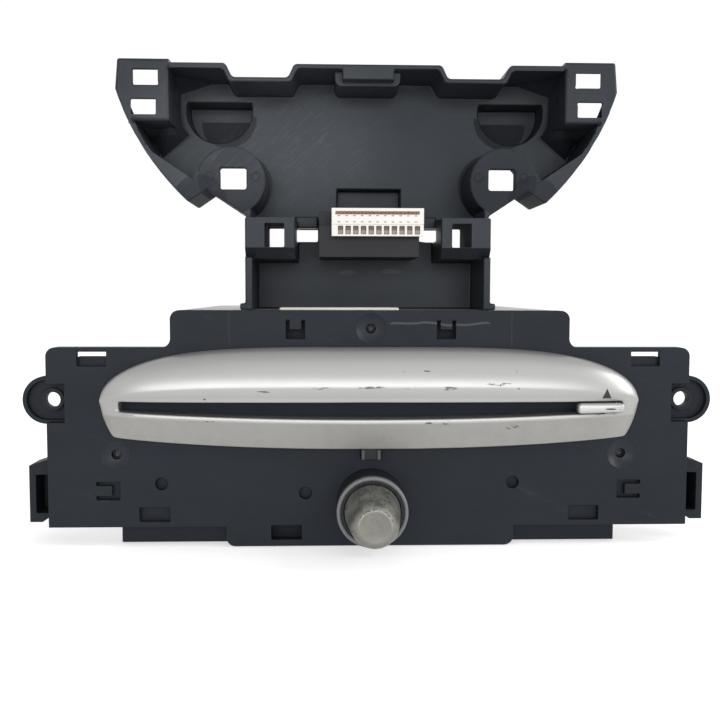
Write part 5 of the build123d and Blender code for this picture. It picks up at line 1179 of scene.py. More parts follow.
@dataclass
class SlotTrim:
    """The silver lens round the disc slot."""

    half: float = 0.1132
    top: float = 0.0850
    rim_power: float = 4.1
    bottom: float = 0.0428
    bow: float = 0.0052
    bow_power: float = 2.2
    end_wide: float = 0.0057
    end_tall: float = 0.0150
    end_power: float = 0.62
    corner: float = 0.0012
    waist: float = 0.0623
    ridge: float = 0.0690
    bulge: float = 0.0140
    edge: float = 0.0014
    swell: float = 0.55
    swell_power: float = 2.4
    taper: float = 0.6
    taper_power: int = 14
    meet_power: int = 6
    crest_power: float = 1.6
    lean: float = 0.42
    droop: float = 0.12
    droop_power: float = 2.2
    slot_left: float = -0.1044
    slot_right: float = 0.1053
    slot_top: float = 0.0629
    slot_end: float = 0.0044
    slot_sag: float = 0.0029
    slot_round: float = 0.0012
    stretch: float = 1.004
    lip: float = 0.0006
    band: float = 0.0010
    band_tilt: float = 0.19
    brim: float = 0.0004
    columns: int = 720
    rows: int = 60
    crowding: float = 1.8

    def share(self, x: np.ndarray) -> np.ndarray:
        """Share of the half width at x, 0 in the middle and 1 at both ends."""
        return np.clip(np.abs(x) / self.half, 0, 1)

    def sill(self, share: np.ndarray) -> np.ndarray:
        """Height of the slot's lower edge, which sags by a parabola of the share of its half width."""
        return self.slot_top - self.slot_end - self.slot_sag * (1 - share ** 2)

    def upper_rim(self, x: np.ndarray) -> np.ndarray:
        """Height of the upper rim: a superellipse over the waist."""
        return self.waist + (self.top - self.waist) * np.sqrt(np.clip(1 - self.share(x) ** self.rim_power, 0, 1))

    def lower_rim(self, x: np.ndarray) -> np.ndarray:
        """Height of the lower rim: the smooth maximum of a shallow bow and a steep line up to each end.

        The line drops from the waist by a power of the way in from the end. The smooth maximum of a and b is
        half of their sum plus the root of (a - b) squared plus the corner's width squared.

        Args:
            x: places along the trim.

        Returns:
            The height at each.
        """
        share = self.share(x)
        bow = self.bottom + self.bow * share ** self.bow_power
        end = self.waist - self.end_tall * (self.half * (1 - share) / self.end_wide) ** self.end_power
        return (bow + end + np.sqrt((bow - end) ** 2 + self.corner ** 2)) / 2

    def front(self, places: np.ndarray) -> np.ndarray:
        """Depth of the lens face.

        The proud height is a full height along the ridge, which shrinks towards both ends by powers of the
        share of the half width. Above the ridge it falls off to the rim as a superellipse of the share of the
        way up. Below it, it leans back by a share of the way down and droops by a power of that share, and
        ends at a brim, which the upper half meets at both ends.

        Args:
            places: rows of (x, z).

        Returns:
            Y at each.
        """
        x, z = places.T
        share = self.share(x)
        round_off = np.sqrt(np.clip(1 - share ** self.swell_power, 0, 1))
        full = (self.bulge - self.edge) * (1 - self.swell + self.swell * round_off)
        full = full * (1 - self.taper * share ** self.taper_power)
        high, low = self.upper_rim(x), self.lower_rim(x)
        ridge = self.waist + (self.ridge - self.waist) * (high - self.waist) / (self.top - self.waist)
        up = np.clip((z - ridge) / np.maximum(high - ridge, 1e-6), 0, 1)
        down = np.clip((ridge - z) / np.maximum(ridge - low, 1e-6), 0, 1)
        meet = (1 - self.lean - self.droop) * share ** self.meet_power
        lens = meet + (1 - meet) * np.sqrt(np.clip(1 - up ** self.crest_power, 0, 1))
        jaw = 1 - self.lean * down - self.droop * down ** self.droop_power
        return FACE_Y - self.edge - full * np.where(z >= ridge, lens, jaw)

    def outlines(self) -> tuple[np.ndarray, np.ndarray]:
        """Draws the slot's and the rim's outline with matching places, anticlockwise from the right end.

        The rim is at half times the cosine of the turn. The slot's straight part runs with the same cosine,
        and its ends climb with the sine, rounded at their corners by quarter circles.

        Returns:
            The slot's and the rim's places (x, z).
        """
        turn = turns(self.columns)
        x = self.half * np.cos(turn)
        rim = np.stack([x, np.where(turn < np.pi, self.upper_rim(x), self.lower_rim(x))], axis=1)
        middle = (self.slot_left + self.slot_right) / 2
        reach = (self.slot_right - self.slot_left) / 2 - self.slot_round
        across = np.clip(np.cos(turn) * self.stretch, -1, 1)
        centre = self.slot_top - self.slot_end / 2
        climb = np.clip(np.abs(np.sin(turn)) / math.sin(math.acos(1 / self.stretch)), 0, 1)
        tall = np.where(turn < np.pi, self.slot_top - centre, centre - self.sill(across))
        corner = np.clip((tall * climb - tall + self.slot_round) / self.slot_round, 0, 1)
        bow = np.sign(np.cos(turn)) * self.slot_round * np.sqrt(1 - corner ** 2)
        z = centre + np.where(turn < np.pi, 1, -1) * tall * climb
        return np.stack([middle + reach * across + bow, z], axis=1), rim

    def build(self) -> None:
        """Builds the lens as a closed ring: slot wall, rounded lip with a narrow bevel, face, rim and back."""
        slot, rim = self.outlines()
        span = rim - slot
        length = np.linalg.norm(span, axis=1, keepdims=True)
        way = span / length
        rings = [upright(slot, FACE_Y)]
        lower = (np.arange(self.columns) > self.columns / 2).astype(float)
        start = slot + way * (self.lip + self.band)
        brink = self.front(start)
        for turn in np.linspace(0, np.pi / 2, 7):
            sink = self.lip * (1 - math.sin(turn)) + self.band * self.band_tilt * lower
            rings.append(upright(slot + way * self.lip * (1 - math.cos(turn)), brink + sink))
        for share in 1 - (1 - np.linspace(0, 1, self.rows)) ** self.crowding:
            spot = start + way * (length - self.lip - self.band - self.brim) * share
            rings.append(upright(spot, self.front(spot)))
        for turn in np.linspace(0, np.pi / 2, 4)[1:]:
            spot = slot + way * (length - self.brim * (1 - math.sin(turn)))
            sink = self.brim * (1 - math.cos(turn))
            rings.append(upright(spot, np.minimum(self.front(spot) + sink, FACE_Y - self.brim)))
        rings.append(upright(rim, FACE_Y))
        faces = grid_faces(len(rings), self.columns, wrap_rows=True)
        piece = link_mesh("slot_trim", np.concatenate(rings), faces.tolist())
        install(outward(piece), Finish.SILVER, "radio", "silver_paint", "silver_trim")


@dataclass
class SlotFlaps:
    """Two soft flaps behind the trim that keep dust out of the slot and overlap at the disc's height."""

    left: float = -0.1045
    right: float = 0.1050
    overlap: Pair = (0.0586, 0.0592)
    top: float = 0.0633
    hem: float = 0.0004
    thick: float = 0.0007
    ease: float = 0.0002
    front: float = FACE_Y + 0.0003

    def build(self) -> None:
        """Builds the upper flap and, behind it, the lower one, whose lower edge follows the slot's sag."""
        x = np.linspace(self.left, self.right, 61)
        trim = SlotTrim()
        share = np.clip((x - (trim.slot_left + trim.slot_right) / 2) / (trim.slot_right - trim.slot_left) * 2, -1, 1)
        bands = {"slot_flap_upper": (np.full_like(x, self.overlap[0]), np.full_like(x, self.top), self.front),
                 "slot_flap_lower": (trim.sill(share) - self.hem, np.full_like(x, self.overlap[1]),
                                     self.front + self.thick)}
        for name, (under, over, front) in bands.items():
            outline = np.concatenate([np.stack([x, under], axis=1), np.stack([x, over], axis=1)[::-1]])
            install(pillow(name, outline, front + self.thick, front, self.ease), Finish.FLAP, "radio", "felt")


@dataclass
class EjectButton:
    """The wedge-shaped eject button in the slot's right end, with its stem."""

    left: float = 0.0852
    right: float = 0.1047
    top: float = 0.0624
    low: Pair = (0.0580, 0.0586)
    front: float = -0.0238
    back: float = -0.0206
    ease: float = 0.0012
    corner: float = 0.0017
    stem: Quad = (0.0935, 0.0965, 0.0578, 0.0608)  # from X, to X, from Z, to Z
    stem_end: float = -0.0006
    stem_in: float = 0.0020
    stem_corner: float = 0.0004
    stem_ease: float = 0.0003

    def build(self) -> None:
        """Builds the cap, whose underside rises to the right, and the stem, as two pieces of one node."""
        outline = rounded(self.left, self.right, self.low[0], self.top, self.corner)
        lift = (outline[:, 0] - self.left) / (self.right - self.left) * (self.low[1] - self.low[0])
        outline[:, 1] += np.clip((self.top - outline[:, 1]) / (self.top - self.low[0]), 0, 1) * lift
        cap = pillow("eject_cap", outline, self.back, self.front, self.ease)
        stem = pillow("eject_stem", rounded(*self.stem, self.stem_corner), self.stem_end, self.back - self.stem_in,
                      self.stem_ease)
        install(cap, Finish.BUTTON, "eject", "button_plastic", "eject_button")
        install(stem, Finish.FRAME, "eject", "button_plastic", "eject_button")


@dataclass
class VolumeKnob:
    """The tapered volume knob, a revolved shell with a rounded nose, in its ring."""

    back: float = FACE_Y - 0.0020
    roof: float = FACE_Y - 0.0195
    nose: float = FACE_Y - 0.0435
    radius: float = 0.0114
    tip: float = 0.0098
    edge: float = 0.0036
    brow: float = 0.0080
    wall: float = 0.0020
    dish: float = 0.00045
    skirt: float = 0.0002
    ring: Pair = (0.0130, 0.0146)
    ring_span: Pair = (FACE_Y - 0.0195, FACE_Y - 0.0164)
    ring_round: float = 0.0006
    gap: Pair = (0.01185, 0.01302)
    gap_sill: float = FACE_Y - 0.0185
    steps: int = 128

    def turned(self, name: str, profile: np.ndarray) -> bpy.types.Object:
        """Turns a profile round the knob's axis."""
        return revolved(name, profile, (0.0, 0.0, KNOB_Z), self.steps)

    def build(self) -> None:
        """Builds the knob: a cone with an elliptical shoulder, a shallow dished nose and a hollow back."""
        turn = np.linspace(0, np.pi / 2, 12)
        flat = self.tip - self.edge
        corner = np.stack([flat + self.edge * np.cos(turn), self.nose + self.brow - self.brow * np.sin(turn)], axis=1)
        face_r = np.linspace(flat, 0.0, 14)[1:]
        dish = self.nose + self.dish * np.clip(1 - (face_r / flat) ** 4, 0, 1)
        inner, outer = self.radius - self.wall, self.radius
        shell = np.array([[0.0, self.roof], [inner, self.roof], [inner, self.back], [outer - self.skirt, self.back],
                          [outer, self.back - self.skirt], [outer, self.roof]])
        side = np.linspace(0, 1, 20)[1:, None]
        side = (1 - side) * shell[-1:] + side * corner[:1]
        profile = np.concatenate([shell, side, corner[1:], np.stack([face_r, dish], axis=1)])
        knob = self.turned("knob_cap", profile)
        self.build_ring()
        install(knob, Finish.KNOB, "knob", "knob_plastic", "volume_knob")

    def build_ring(self) -> None:
        """Builds the ring round the knob, a rounded band on the collar's front, and the dark gap inside it."""
        turn = np.linspace(0, np.pi / 2, 6)
        (inner, outer), (front, back), soft = self.ring, self.ring_span, self.ring_round
        left = np.stack([inner + soft * (1 - np.cos(turn)), front + soft * (1 - np.sin(turn))], axis=1)
        right = np.stack([outer - soft * (1 - np.sin(turn)), front + soft * (1 - np.cos(turn))], axis=1)
        profile = np.concatenate([[[inner, back]], left, right, [[outer, back], [inner, back]]])
        install(self.turned("knob_band", profile), Finish.RING, "radio", "grey_plastic", "knob_ring")
        (low, high), sill = self.gap, self.gap_sill
        profile = np.array([[low, back], [low, sill], [high, sill], [high, back], [low, back]])
        install(self.turned("knob_gap", profile), Finish.BRACKET, "radio", "black_plastic")


@dataclass
class Screws:
    """A set of like screws with six-lobe recesses and threaded shanks.

    Round its axis a screw is a grid of rings: at each depth a radius, which in the recess swells six times a
    turn, and on the shank follows a triangle wave of depth over pitch less the share of a turn. The dome, the
    recess's pocket and the shank's point are given as depths with shares of their radius.
    """

    name: str
    node: str
    heads: tuple[Triple, ...]
    inwards: tuple[Triple, ...]
    length: float
    finish: Finish
    slot: str
    head_radius: float = 0.0027
    head_height: float = 0.0016
    dome: tuple[Pair, ...] = ((0.00004, 0.72), (0.00016, 0.88), (0.00042, 0.97), (0.0008, 1.0))
    hem: float = 0.95
    recess: float = 0.00115
    lobe: float = 0.16
    pocket: tuple[Pair, ...] = ((0.0011, 0.0), (0.00095, 0.80), (0.00010, 1.0))
    chamfer: float = 0.00010
    shank: float = 0.00135
    thread: float = 0.00030
    pitch: float = 0.0010
    runout: float = 0.0006
    tip: float = 0.0012
    point: Pair = (0.0004, 0.62)
    steps: int = 36

    def rings(self) -> tuple[np.ndarray, np.ndarray]:
        """Works out the rings from the recess's bottom over the head and down to the tip.

        Returns:
            Depth below the head's top and radius, as two arrays of rings by steps.
        """
        turn = turns(self.steps)
        lobes = self.recess * (1 + self.lobe * np.cos(6 * turn))
        high = self.head_height
        head = (*self.dome, (high - self.chamfer, 1.0), (high, self.hem))
        depth = np.arange(high, self.length - self.tip, self.pitch / 4)
        wave = np.abs((depth[:, None] / self.pitch - turn / (2 * np.pi)) % 1.0 * 2 - 1)
        fade = np.clip((depth[:, None] - high) / self.runout, 0, 1)
        shank = self.shank - self.thread * (0.5 + (wave - 0.5) * fade)
        rows = [(d, lobes * share) for d, share in self.pocket] + [(0.0, lobes + self.chamfer)]
        rows += [(d, np.full(self.steps, share * self.head_radius)) for d, share in head]
        rows += list(zip(depth, shank))
        rows += [(self.length - self.point[0], np.full(self.steps, self.shank * self.point[1])),
                 (self.length, np.zeros(self.steps))]
        return np.repeat([[d] for d, _ in rows], self.steps, axis=1), np.array([k for _, k in rows])

    def build(self) -> None:
        """Builds every screw of the set as one piece."""
        depth, radius = self.rings()
        turn = turns(self.steps)
        faces = grid_faces(len(depth), self.steps)
        points, quads = [], []
        for number, (head, inward) in enumerate(zip(self.heads, self.inwards)):
            axis = np.array(inward)
            side = np.cross(axis, (0.0, 0.0, 1.0) if abs(axis[2]) < 0.5 else (1.0, 0.0, 0.0))
            up = np.cross(side, axis)
            place = np.array(head) + depth[..., None] * axis + (radius * np.cos(turn))[..., None] * side
            points.append((place + (radius * np.sin(turn))[..., None] * up).reshape(-1, 3))
            quads.append(faces + number * depth.size)
        piece = outward(link_mesh(self.name, np.concatenate(points), np.concatenate(quads).tolist()))
        install(piece, self.finish, "radio", self.slot, self.node)


@dataclass
class EjectorMarks:
    """The mould's round ejector marks beside the bosses' windows."""

    out: tuple[float, ...] = (-0.0715, -0.0507, 0.0507, 0.0715)
    height: float = 0.1603
    radius: float = 0.0022
    proud: float = 0.00025
    sunk: float = 0.00035
    lip: float = 0.0003
    film: float = 0.00002
    steps: int = 40

    def build(self) -> None:
        """Builds each mark as a shallow revolved cup that sits on the bracket's own face."""
        turn = np.linspace(0, np.pi, 8)
        ring = np.stack([self.radius - self.lip * (1 - np.cos(turn)), -self.proud * np.sin(turn)], axis=1)
        back = [self.radius, self.sunk]
        profile = np.concatenate([[back], ring, [[0.0, 0.0], [0.0, self.sunk], back]])
        skin = bmesh.new()
        skin.from_mesh(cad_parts["upper_bracket"].data)
        tree = BVHTree.FromBMesh(skin)
        skin.free()
        for number, x in enumerate(self.out, 1):
            hit = tree.ray_cast(Vector((x, -0.2, self.height)), Vector((0, 1, 0)))[0]
            mark = revolved(f"ejector_mark_{number}", profile, (x, hit.y - self.film, self.height), self.steps)
            install(mark, Finish.BRACKET, "radio", "black_plastic")


@dataclass
class FrontCarrier:
    """The moulded carrier with what is fixed on its face."""

    ease: float = 0.0003
    dimple_screws: tuple[Triple, ...] = (
        (0.0, -0.0080, 0.0927), (-0.1076, -0.0080, 0.0393), (0.1076, -0.0080, 0.0393))
    screw_head: float = 0.0020
    screw_length: float = 0.0120
    bowl: float = 0.00625
    bowl_hole: float = 0.0021
    bowl_depth: float = 0.0023
    bowl_sunk: float = 0.0001
    bowl_wall: float = 0.0004
    bowl_steps: int = 72
    backs: tuple[Quad, ...] = (
        (-0.1170, -0.1046, 0.0184, 0.0292), (0.0945, 0.1190, 0.0172, 0.0282), (-0.0915, -0.0853, 0.0240, 0.0302),
        (-0.0308, -0.0246, 0.0198, 0.0260), (0.0575, 0.0637, 0.0241, 0.0303), (-0.0995, -0.0835, 0.0096, 0.0178),
        (0.0845, 0.1005, 0.0086, 0.0168))
    back_front: float = FACE_Y + 0.0027
    back_thick: float = 0.0008
    back_corner: float = 0.0008
    back_ease: float = 0.0002

    def build_backs(self) -> None:
        """Builds the thin webs that close the snap hooks' slots, peg holes and pits from behind."""
        for number, box in enumerate(self.backs, 1):
            web = pillow(f"closing_web_{number}", rounded(*box, self.back_corner), self.back_front + self.back_thick,
                         self.back_front, self.back_ease)
            install(web, Finish.CARRIER, "radio", "black_plastic")

    def build_bowls(self) -> None:
        """Lines each dimple with a revolved bowl, as deep as its full depth less the square of the radius's share."""
        radius = np.linspace(self.bowl, self.bowl_hole, 12)
        depth = self.bowl_sunk + self.bowl_depth * (1 - (radius / self.bowl) ** 2)
        floor = FACE_Y + self.bowl_depth + self.bowl_wall
        face = np.stack([radius, FACE_Y + depth], axis=1)
        profile = np.concatenate([[[self.bowl, floor]], face, [[self.bowl_hole, floor], [self.bowl, floor]]])
        for number, (x, _, z) in enumerate(self.dimple_screws, 1):
            bowl = revolved(f"dimple_bowl_{number}", profile, (x, 0.0, z), self.bowl_steps)
            install(bowl, Finish.BRACKET, "radio", "black_plastic")

    def build(self) -> None:
        """Builds and dresses the carrier group."""
        EasedEdges(self.ease).piece("front_carrier", Finish.CARRIER)
        EasedEdges(self.ease).piece("backing_frame", Finish.FRAME)
        EjectButton().build()
        SlotFlaps().build()
        Screws("dimple_screws", "carrier_screws", self.dimple_screws, ((0.0, 1.0, 0.0),) * 3, self.screw_length,
               Finish.SCREW, "dark_steel", head_radius=self.screw_head).build()
        self.build_bowls()
        self.build_backs()
        paint_nodes({Finish.GUIDE: ("light_guide",), Finish.CHIP: ("eject_switch", "encoder_body"),
                     Finish.ACETAL: ("encoder_plunger",), Finish.STEEL: ("encoder_shaft",),
                     Finish.FELT: ("slot_felt_upper", "slot_felt_lower"), Finish.BOARD: ("front_board",)})


@dataclass
class BracketTray:
    """The tray above the chassis with its connector."""

    ease: float = 0.0008
    wide_ease: float = 0.0014
    holder_ease: float = 0.0002
    housing_ease: float = 0.00012
    screw_x: tuple[float, ...] = (-0.042, -0.016, 0.016, 0.042)
    screw_place: Pair = (0.0675, 0.1046)
    screw_length: float = 0.0076
    comb_first: float = -0.01415
    comb_pitch: float = 0.00170
    comb_count: int = 22
    comb_z: float = 0.14295
    cap: Quad = (-0.00078, 0.00078, -0.0008, 0.0007)
    cap_corner: float = 0.0006
    cap_span: Pair = (0.0012, 0.0001)  # its back and front behind the mouth
    cap_ease: float = 0.0003
    tab: Quad = (-0.0006, 0.0006, -0.00016, 0.00016)
    tab_corner: float = 0.00012
    tab_span: Pair = (0.0003, -0.00006)
    tab_ease: float = 0.00005
    tab_z: Pair = (0.1417, 0.1390)
    housing_face: float = 0.0130
    front: Quad = (-0.0164, 0.0242, 0.1328, 0.1450)
    front_step: float = 0.0002
    front_thick: float = 0.0014
    front_sunk: float = 0.0002
    window_first: float = -0.0127
    window_pitch: float = 0.003405
    window_count: int = 11
    window: Triple = (0.1354, 0.00122, 0.00188)  # the middle's Z and both half sizes
    window_depth: float = 0.0013
    trough: Pair = (0.0187, 0.00075)  # both half sizes
    trough_depth: float = 0.0007
    ledge: float = 0.0006
    ledge_depth: float = 0.0003
    pads: tuple[Pair, ...] = ((0.0996, 0.2038), (0.1008, 0.1907))  # each window's middle, right half
    pad_back: float = FACE_Y + 0.0450
    pad_hole: Pair = (0.00555, 0.00335)
    pad_reach: Pair = (0.0016, 0.0012)
    pad_flare: Pair = (0.0030, 0.0020)
    shallow: Quad = (0.0893, 0.1837, 0.0345, 0.15)  # beyond X, above Z, behind the sill's Y; the share

    def within(self, way: np.ndarray, half: float) -> np.ndarray:
        """Share, 0 to 1, by which a distance from a middle lies inside a half size, over one step of the grid."""
        return np.clip((half - np.abs(way)) / self.front_step, 0, 1)

    def front_depth(self, across: np.ndarray, up: np.ndarray) -> np.ndarray:
        """Depth of the housing's front.

        The depth behind the mouth is the deepest of a ledge's worth under the upper band, the comb's trough
        and the windows, each a depth times the shares by which the place lies inside its half sizes.

        Args:
            across: X of each place.
            up: Z of each place.

        Returns:
            Y at each.
        """
        middle, half_x, half_z = self.window
        last = self.window_first + (self.window_count - 1) * self.window_pitch
        row = self.within(across - (self.window_first + last) / 2, (last - self.window_first) / 2 + half_x)
        beside = across - self.window_first
        beside = beside - self.window_pitch * np.round(beside / self.window_pitch)
        windows = self.window_depth * self.within(beside, half_x) * self.within(up - middle, half_z) * row
        along = across - self.comb_first - (self.comb_count - 1) / 2 * self.comb_pitch
        trough = self.within(up - self.comb_z, self.trough[1]) * self.within(along, self.trough[0])
        ledge = self.ledge_depth * (up < middle + half_z + self.ledge)
        deepest = np.maximum(np.maximum(windows, self.trough_depth * trough), ledge)
        return self.housing_face - self.front_thick + deepest

    def build_front(self) -> None:
        """Builds the housing's front as a height field over a fine grid, closed by a flat back."""
        x0, x1, z0, z1 = self.front
        x = np.linspace(x0, x1, round((x1 - x0) / self.front_step) + 1)
        z = np.linspace(z0, z1, round((z1 - z0) / self.front_step) + 1)
        across, up = np.meshgrid(x, z)
        front = np.stack([across, self.front_depth(across, up), up], axis=2)
        back = np.stack([across[::-1], np.full_like(across, self.housing_face + self.front_sunk), up[::-1]], axis=2)
        points = np.concatenate([front, back]).reshape(-1, 3)
        faces = [grid_faces(2 * len(z), len(x), True, False)]
        edge = np.arange(len(z))
        for column, flip in ((0, 1), (len(x) - 1, -1)):
            lower = edge * len(x) + column
            upper = (2 * len(z) - 1 - edge) * len(x) + column
            sides = np.stack([lower[:-1], lower[1:], upper[1:], upper[:-1]], axis=1)
            faces.append(sides[:, ::flip])
        face = link_mesh("socket_front", points, np.concatenate(faces).tolist(), smooth=False)
        install(outward(face), Finish.SOCKET_FACE, "radio", "white_plastic")

    def draft(self, piece: bpy.types.Object) -> None:
        """Widens the pads' windows towards the back, as drafted windows are, and makes the pads shallow.

        A place by a window's edge moves out by the flare times its share of the window's half size. Behind
        the sill, a pad keeps only a share of its depth.

        Args:
            piece: the eased bracket.
        """
        points = mesh_points(piece.data)
        beside, deep = self.pad_reach
        deep = np.abs(points[:, 1] - self.pad_back) < deep
        side = np.sign(points[:, 0])
        half = np.array(self.pad_hole)
        for x, z in self.pads:
            way = np.stack([points[:, 0] - side * x, points[:, 2] - z], axis=1)
            near = deep & (np.abs(way) < half + beside).all(axis=1)
            points[near, 0::2] += np.clip(way[near] / half, -1, 1) * self.pad_flare
        out, up, sill, share = self.shallow
        far = (np.abs(points[:, 0]) > out) & (points[:, 2] > up) & (points[:, 1] > sill)
        points[far, 1] = sill + (points[far, 1] - sill) * share
        piece.data.vertices.foreach_set("co", points.ravel())
        piece.data.update()

    def build_comb(self) -> None:
        """Builds the red-brown comb of round caps and, under it, two rows of small latch tabs."""
        x = self.comb_first + self.comb_pitch * np.arange(self.comb_count)
        mouth = self.housing_face - self.front_thick
        cap = pillow("comb_cap", rounded(*self.cap, self.cap_corner), *(mouth + way for way in self.cap_span),
                     self.cap_ease)
        row = np.stack([x, np.full_like(x, self.comb_z)], axis=1)
        install(repeated("contact_comb", cap, upright(row, 0.0)), Finish.COMB, "radio", "copper_contact")
        tab = pillow("tab", rounded(*self.tab, self.tab_corner), *(mouth + way for way in self.tab_span),
                     self.tab_ease)
        between = x[::2] + self.comb_pitch / 2
        rows = np.concatenate([np.stack([between, np.full_like(between, z)], axis=1) for z in self.tab_z])
        install(repeated("latch_tabs", tab, upright(rows, 0.0)), Finish.CHIP, "radio", "white_plastic")

    def build(self) -> None:
        """Builds and dresses the bracket group."""
        self.draft(EasedEdges(self.ease, 3, wide=self.wide_ease).piece("upper_bracket", Finish.BRACKET))
        self.build_front()
        EasedEdges(self.holder_ease).piece("connector_holder", Finish.SOCKET)
        EasedEdges(self.housing_ease).piece("connector_housing", Finish.NYLON, slot="white_plastic")
        Screws("flange_screws", "bracket_screws", tuple((x, *self.screw_place) for x in self.screw_x),
               ((0.0, 0.0, -1.0),) * 4, self.screw_length, Finish.SCREW, "dark_steel").build()
        EjectorMarks().build()
        self.build_comb()
        paint_nodes({Finish.COPPER: ("connector_contacts",)})


@dataclass
class Chassis:
    """The steel box with its rear fittings and boards."""

    ease: float = 0.0003
    fine_ease: float = 0.0002
    screw_side: float = 0.08518
    screw_y: tuple[float, ...] = (0.0392, 0.1406)
    screw_z: float = 0.0940
    screw_length: float = 0.0056
    foam: Quad = (-0.0397, 0.0135, 0.1000, 0.1011)
    foam_span: Pair = (0.0300, 0.0140)  # Y of its back and front
    foam_round: float = 0.0003

    def build(self) -> None:
        """Builds and dresses the chassis group."""
        foam = pillow("lid_foam", rounded(*self.foam, self.foam_round), *self.foam_span, self.foam_round)
        install(foam, Finish.FOAM, "radio", "white_plastic")
        for node in ("chassis_tray", "chassis_cover"):
            EasedEdges(self.ease).piece(node, Finish.SHEET, slot="zinc_steel")
        fine = EasedEdges(self.fine_ease)
        fine.piece("heat_sink", Finish.SINK, slot="sink_aluminium")
        fine.piece("rear_connector", Finish.SOCKET)
        fine.piece("aerial_sockets", Finish.NYLON, slot="white_plastic")
        spots = [(side, y) for side in (-1.0, 1.0) for y in self.screw_y]
        heads = tuple((side * self.screw_side, y, self.screw_z) for side, y in spots)
        Screws("lid_screws", "cover_screws", heads, tuple((-side, 0.0, 0.0) for side, _ in spots),
               self.screw_length, Finish.STEEL, "zinc_steel").build()
        paint_nodes({Finish.COPPER: ("rear_connector_pins", "aerial_pins"), Finish.MAIN_BOARD: ("main_board",),
                     Finish.STEEL: ("board_pillars",), Finish.CHIP: ("amplifier_chip",),
                     Finish.CAN: ("capacitors",), Finish.MECH_SHEET: ("tuner_can",)})


@dataclass
class DiscMechanism:
    """The loading and playing mechanism inside the chassis."""

    finishes: dict[Finish, tuple[str, ...]] = field(default_factory=lambda: {
        Finish.MECH_SHEET: ("mech_frame", "mech_top_plate", "clamp_arm"),
        Finish.STEEL: ("roller_shaft", "motor_shaft", "loading_motor", "spindle_motor", "clamp_pin", "guide_rods",
                       "lead_screw", "sled_motor"),
        Finish.ACETAL: ("roller_gear", "idler_gear", "motor_pinion", "turntable", "clamp_puck"),
        Finish.RUBBER: ("mech_dampers", "loading_roller"),
        Finish.CHIP: ("pickup_sled",), Finish.LENS: ("pickup_lens",)})

    def build(self) -> None:
        """Dresses the mechanism's nodes."""
        paint_nodes(self.finishes)


@dataclass(frozen=True)
class SoftBox:
    """A rectangular soft light: where it stands, what it faces, its size and its power."""

    name: str
    place: Triple
    aim: Triple
    size: Pair
    watts: float

    def build(self) -> None:
        """Adds the light."""
        data = bpy.data.lights.new(self.name, "AREA")
        data.shape = "RECTANGLE"
        data.size, data.size_y = self.size
        data.energy = self.watts
        lamp = bpy.data.objects.new(self.name, data)
        lamp.location = self.place
        lamp.rotation_euler = (Vector(self.aim) - Vector(self.place)).to_track_quat("-Z", "Y").to_euler()
        bpy.context.scene.collection.objects.link(lamp)


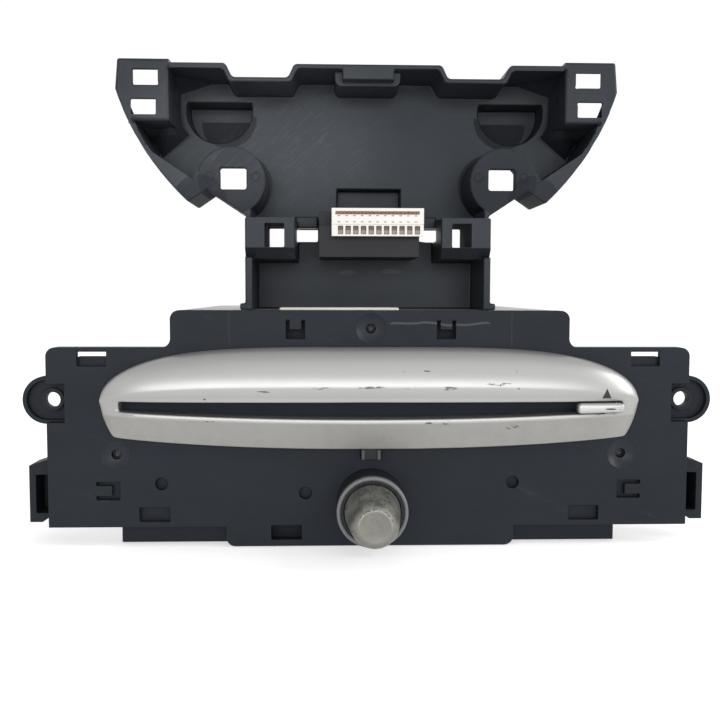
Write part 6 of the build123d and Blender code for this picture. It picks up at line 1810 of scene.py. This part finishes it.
@dataclass
class Studio:
    """A pale floor, an even white surround, soft lights and the camera."""

    focal_px: float = 930.2
    place: Triple = (-0.0172, FACE_Y - 0.3906, 0.1077)
    yaw: float = 1.84
    pitch: float = 4.12
    roll: float = 0.12
    sensor: float = 36.0
    surround: Pair = (1.02, 0.58)
    floor_glow: float = 0.50
    floor_tone: Colour = (0.72, 0.72, 0.72)
    floor_reach: float = 6.0
    floor_z: float = -0.0003
    boxes: tuple[SoftBox, ...] = (
        SoftBox("key", (-0.10, -1.50, 0.34), (0.0, 0.0, 0.10), (1.7, 0.46), 8.8),
        SoftBox("over", (0.15, -0.75, 1.15), (0.0, 0.0, 0.05), (1.0, 0.7), 1.0),
        SoftBox("strip", (1.15, -0.35, 0.60), (0.0, 0.0, 0.14), (0.35, 0.9), 7.0))

    def camera(self) -> None:
        """Sets the camera from the fitted place, turn and focal length."""
        yaw, pitch, roll = (math.radians(a) for a in (self.yaw, self.pitch, self.roll))
        right = Vector((math.cos(yaw), -math.sin(yaw), 0))
        level = Vector((math.sin(yaw), math.cos(yaw), 0))
        ahead = level * math.cos(pitch) - Vector((0, 0, math.sin(pitch)))
        up = level * math.sin(pitch) + Vector((0, 0, math.cos(pitch)))
        side = right * math.cos(roll) + up * math.sin(roll)
        head = up * math.cos(roll) - right * math.sin(roll)
        data = bpy.data.cameras.new("camera")
        data.sensor_width = self.sensor
        data.lens = self.focal_px * self.sensor / IMAGE_SIDE
        data.clip_start = 0.01
        camera = bpy.data.objects.new("camera", data)
        turn = Matrix((side, head, -ahead)).transposed().to_4x4()
        camera.matrix_world = Matrix.Translation(self.place) @ turn
        bpy.context.scene.collection.objects.link(camera)
        bpy.context.scene.camera = camera

    def floor(self) -> None:
        """Makes the plain pale floor, which glows a little so that it stays as white as the surround."""
        corners = np.array([[-1, -1], [1, -1], [1, 1], [-1, 1]]) * self.floor_reach
        points = np.column_stack([corners, np.full(4, self.floor_z)])
        floor = link_mesh("floor", points, [[0, 1, 2, 3]], smooth=False)
        g = Coat("floor_pale")
        g.set(Base_Color=self.floor_tone, Roughness=0.9, Specular_IOR_Level=0.1,
              Emission_Color=(1.0, 1.0, 1.0), Emission_Strength=self.floor_glow)
        floor.data.materials.append(g.material)

    def sky(self) -> None:
        """Makes the surround: white at the horizon, a little darker overhead."""
        world = bpy.data.worlds.new("surround")
        world.use_nodes = True
        g = Graph(world.node_tree)
        up = g.node("ShaderNodeSeparateXYZ", {}, {0: g.node("ShaderNodeTexCoord", {}, {}, "Generated")}, "Z")
        level, zenith = self.surround
        back = world.node_tree.nodes["Background"]
        g.feed(back.inputs["Color"], (1.0, 1.0, 1.0))
        g.feed(back.inputs["Strength"], level + (zenith - level) * up.above(0.75, 0.25))
        bpy.context.scene.world = world

    def build(self) -> None:
        """Builds floor, lights and camera."""
        bpy.context.scene.view_settings.view_transform = "Standard"
        self.floor()
        self.sky()
        for box in self.boxes:
            box.build()
        self.camera()


def main() -> None:
    """Builds every sub-assembly in order."""
    logging.basicConfig(level=logging.INFO, format="%(name)s: %(message)s")
    for assembly in (Studio(), FrontCarrier(), SlotTrim(), VolumeKnob(), BracketTray(), Chassis(), DiscMechanism()):
        assembly.build()
        LOG.info("%s is built", type(assembly).__name__)


if __name__ == "__main__":
    main()
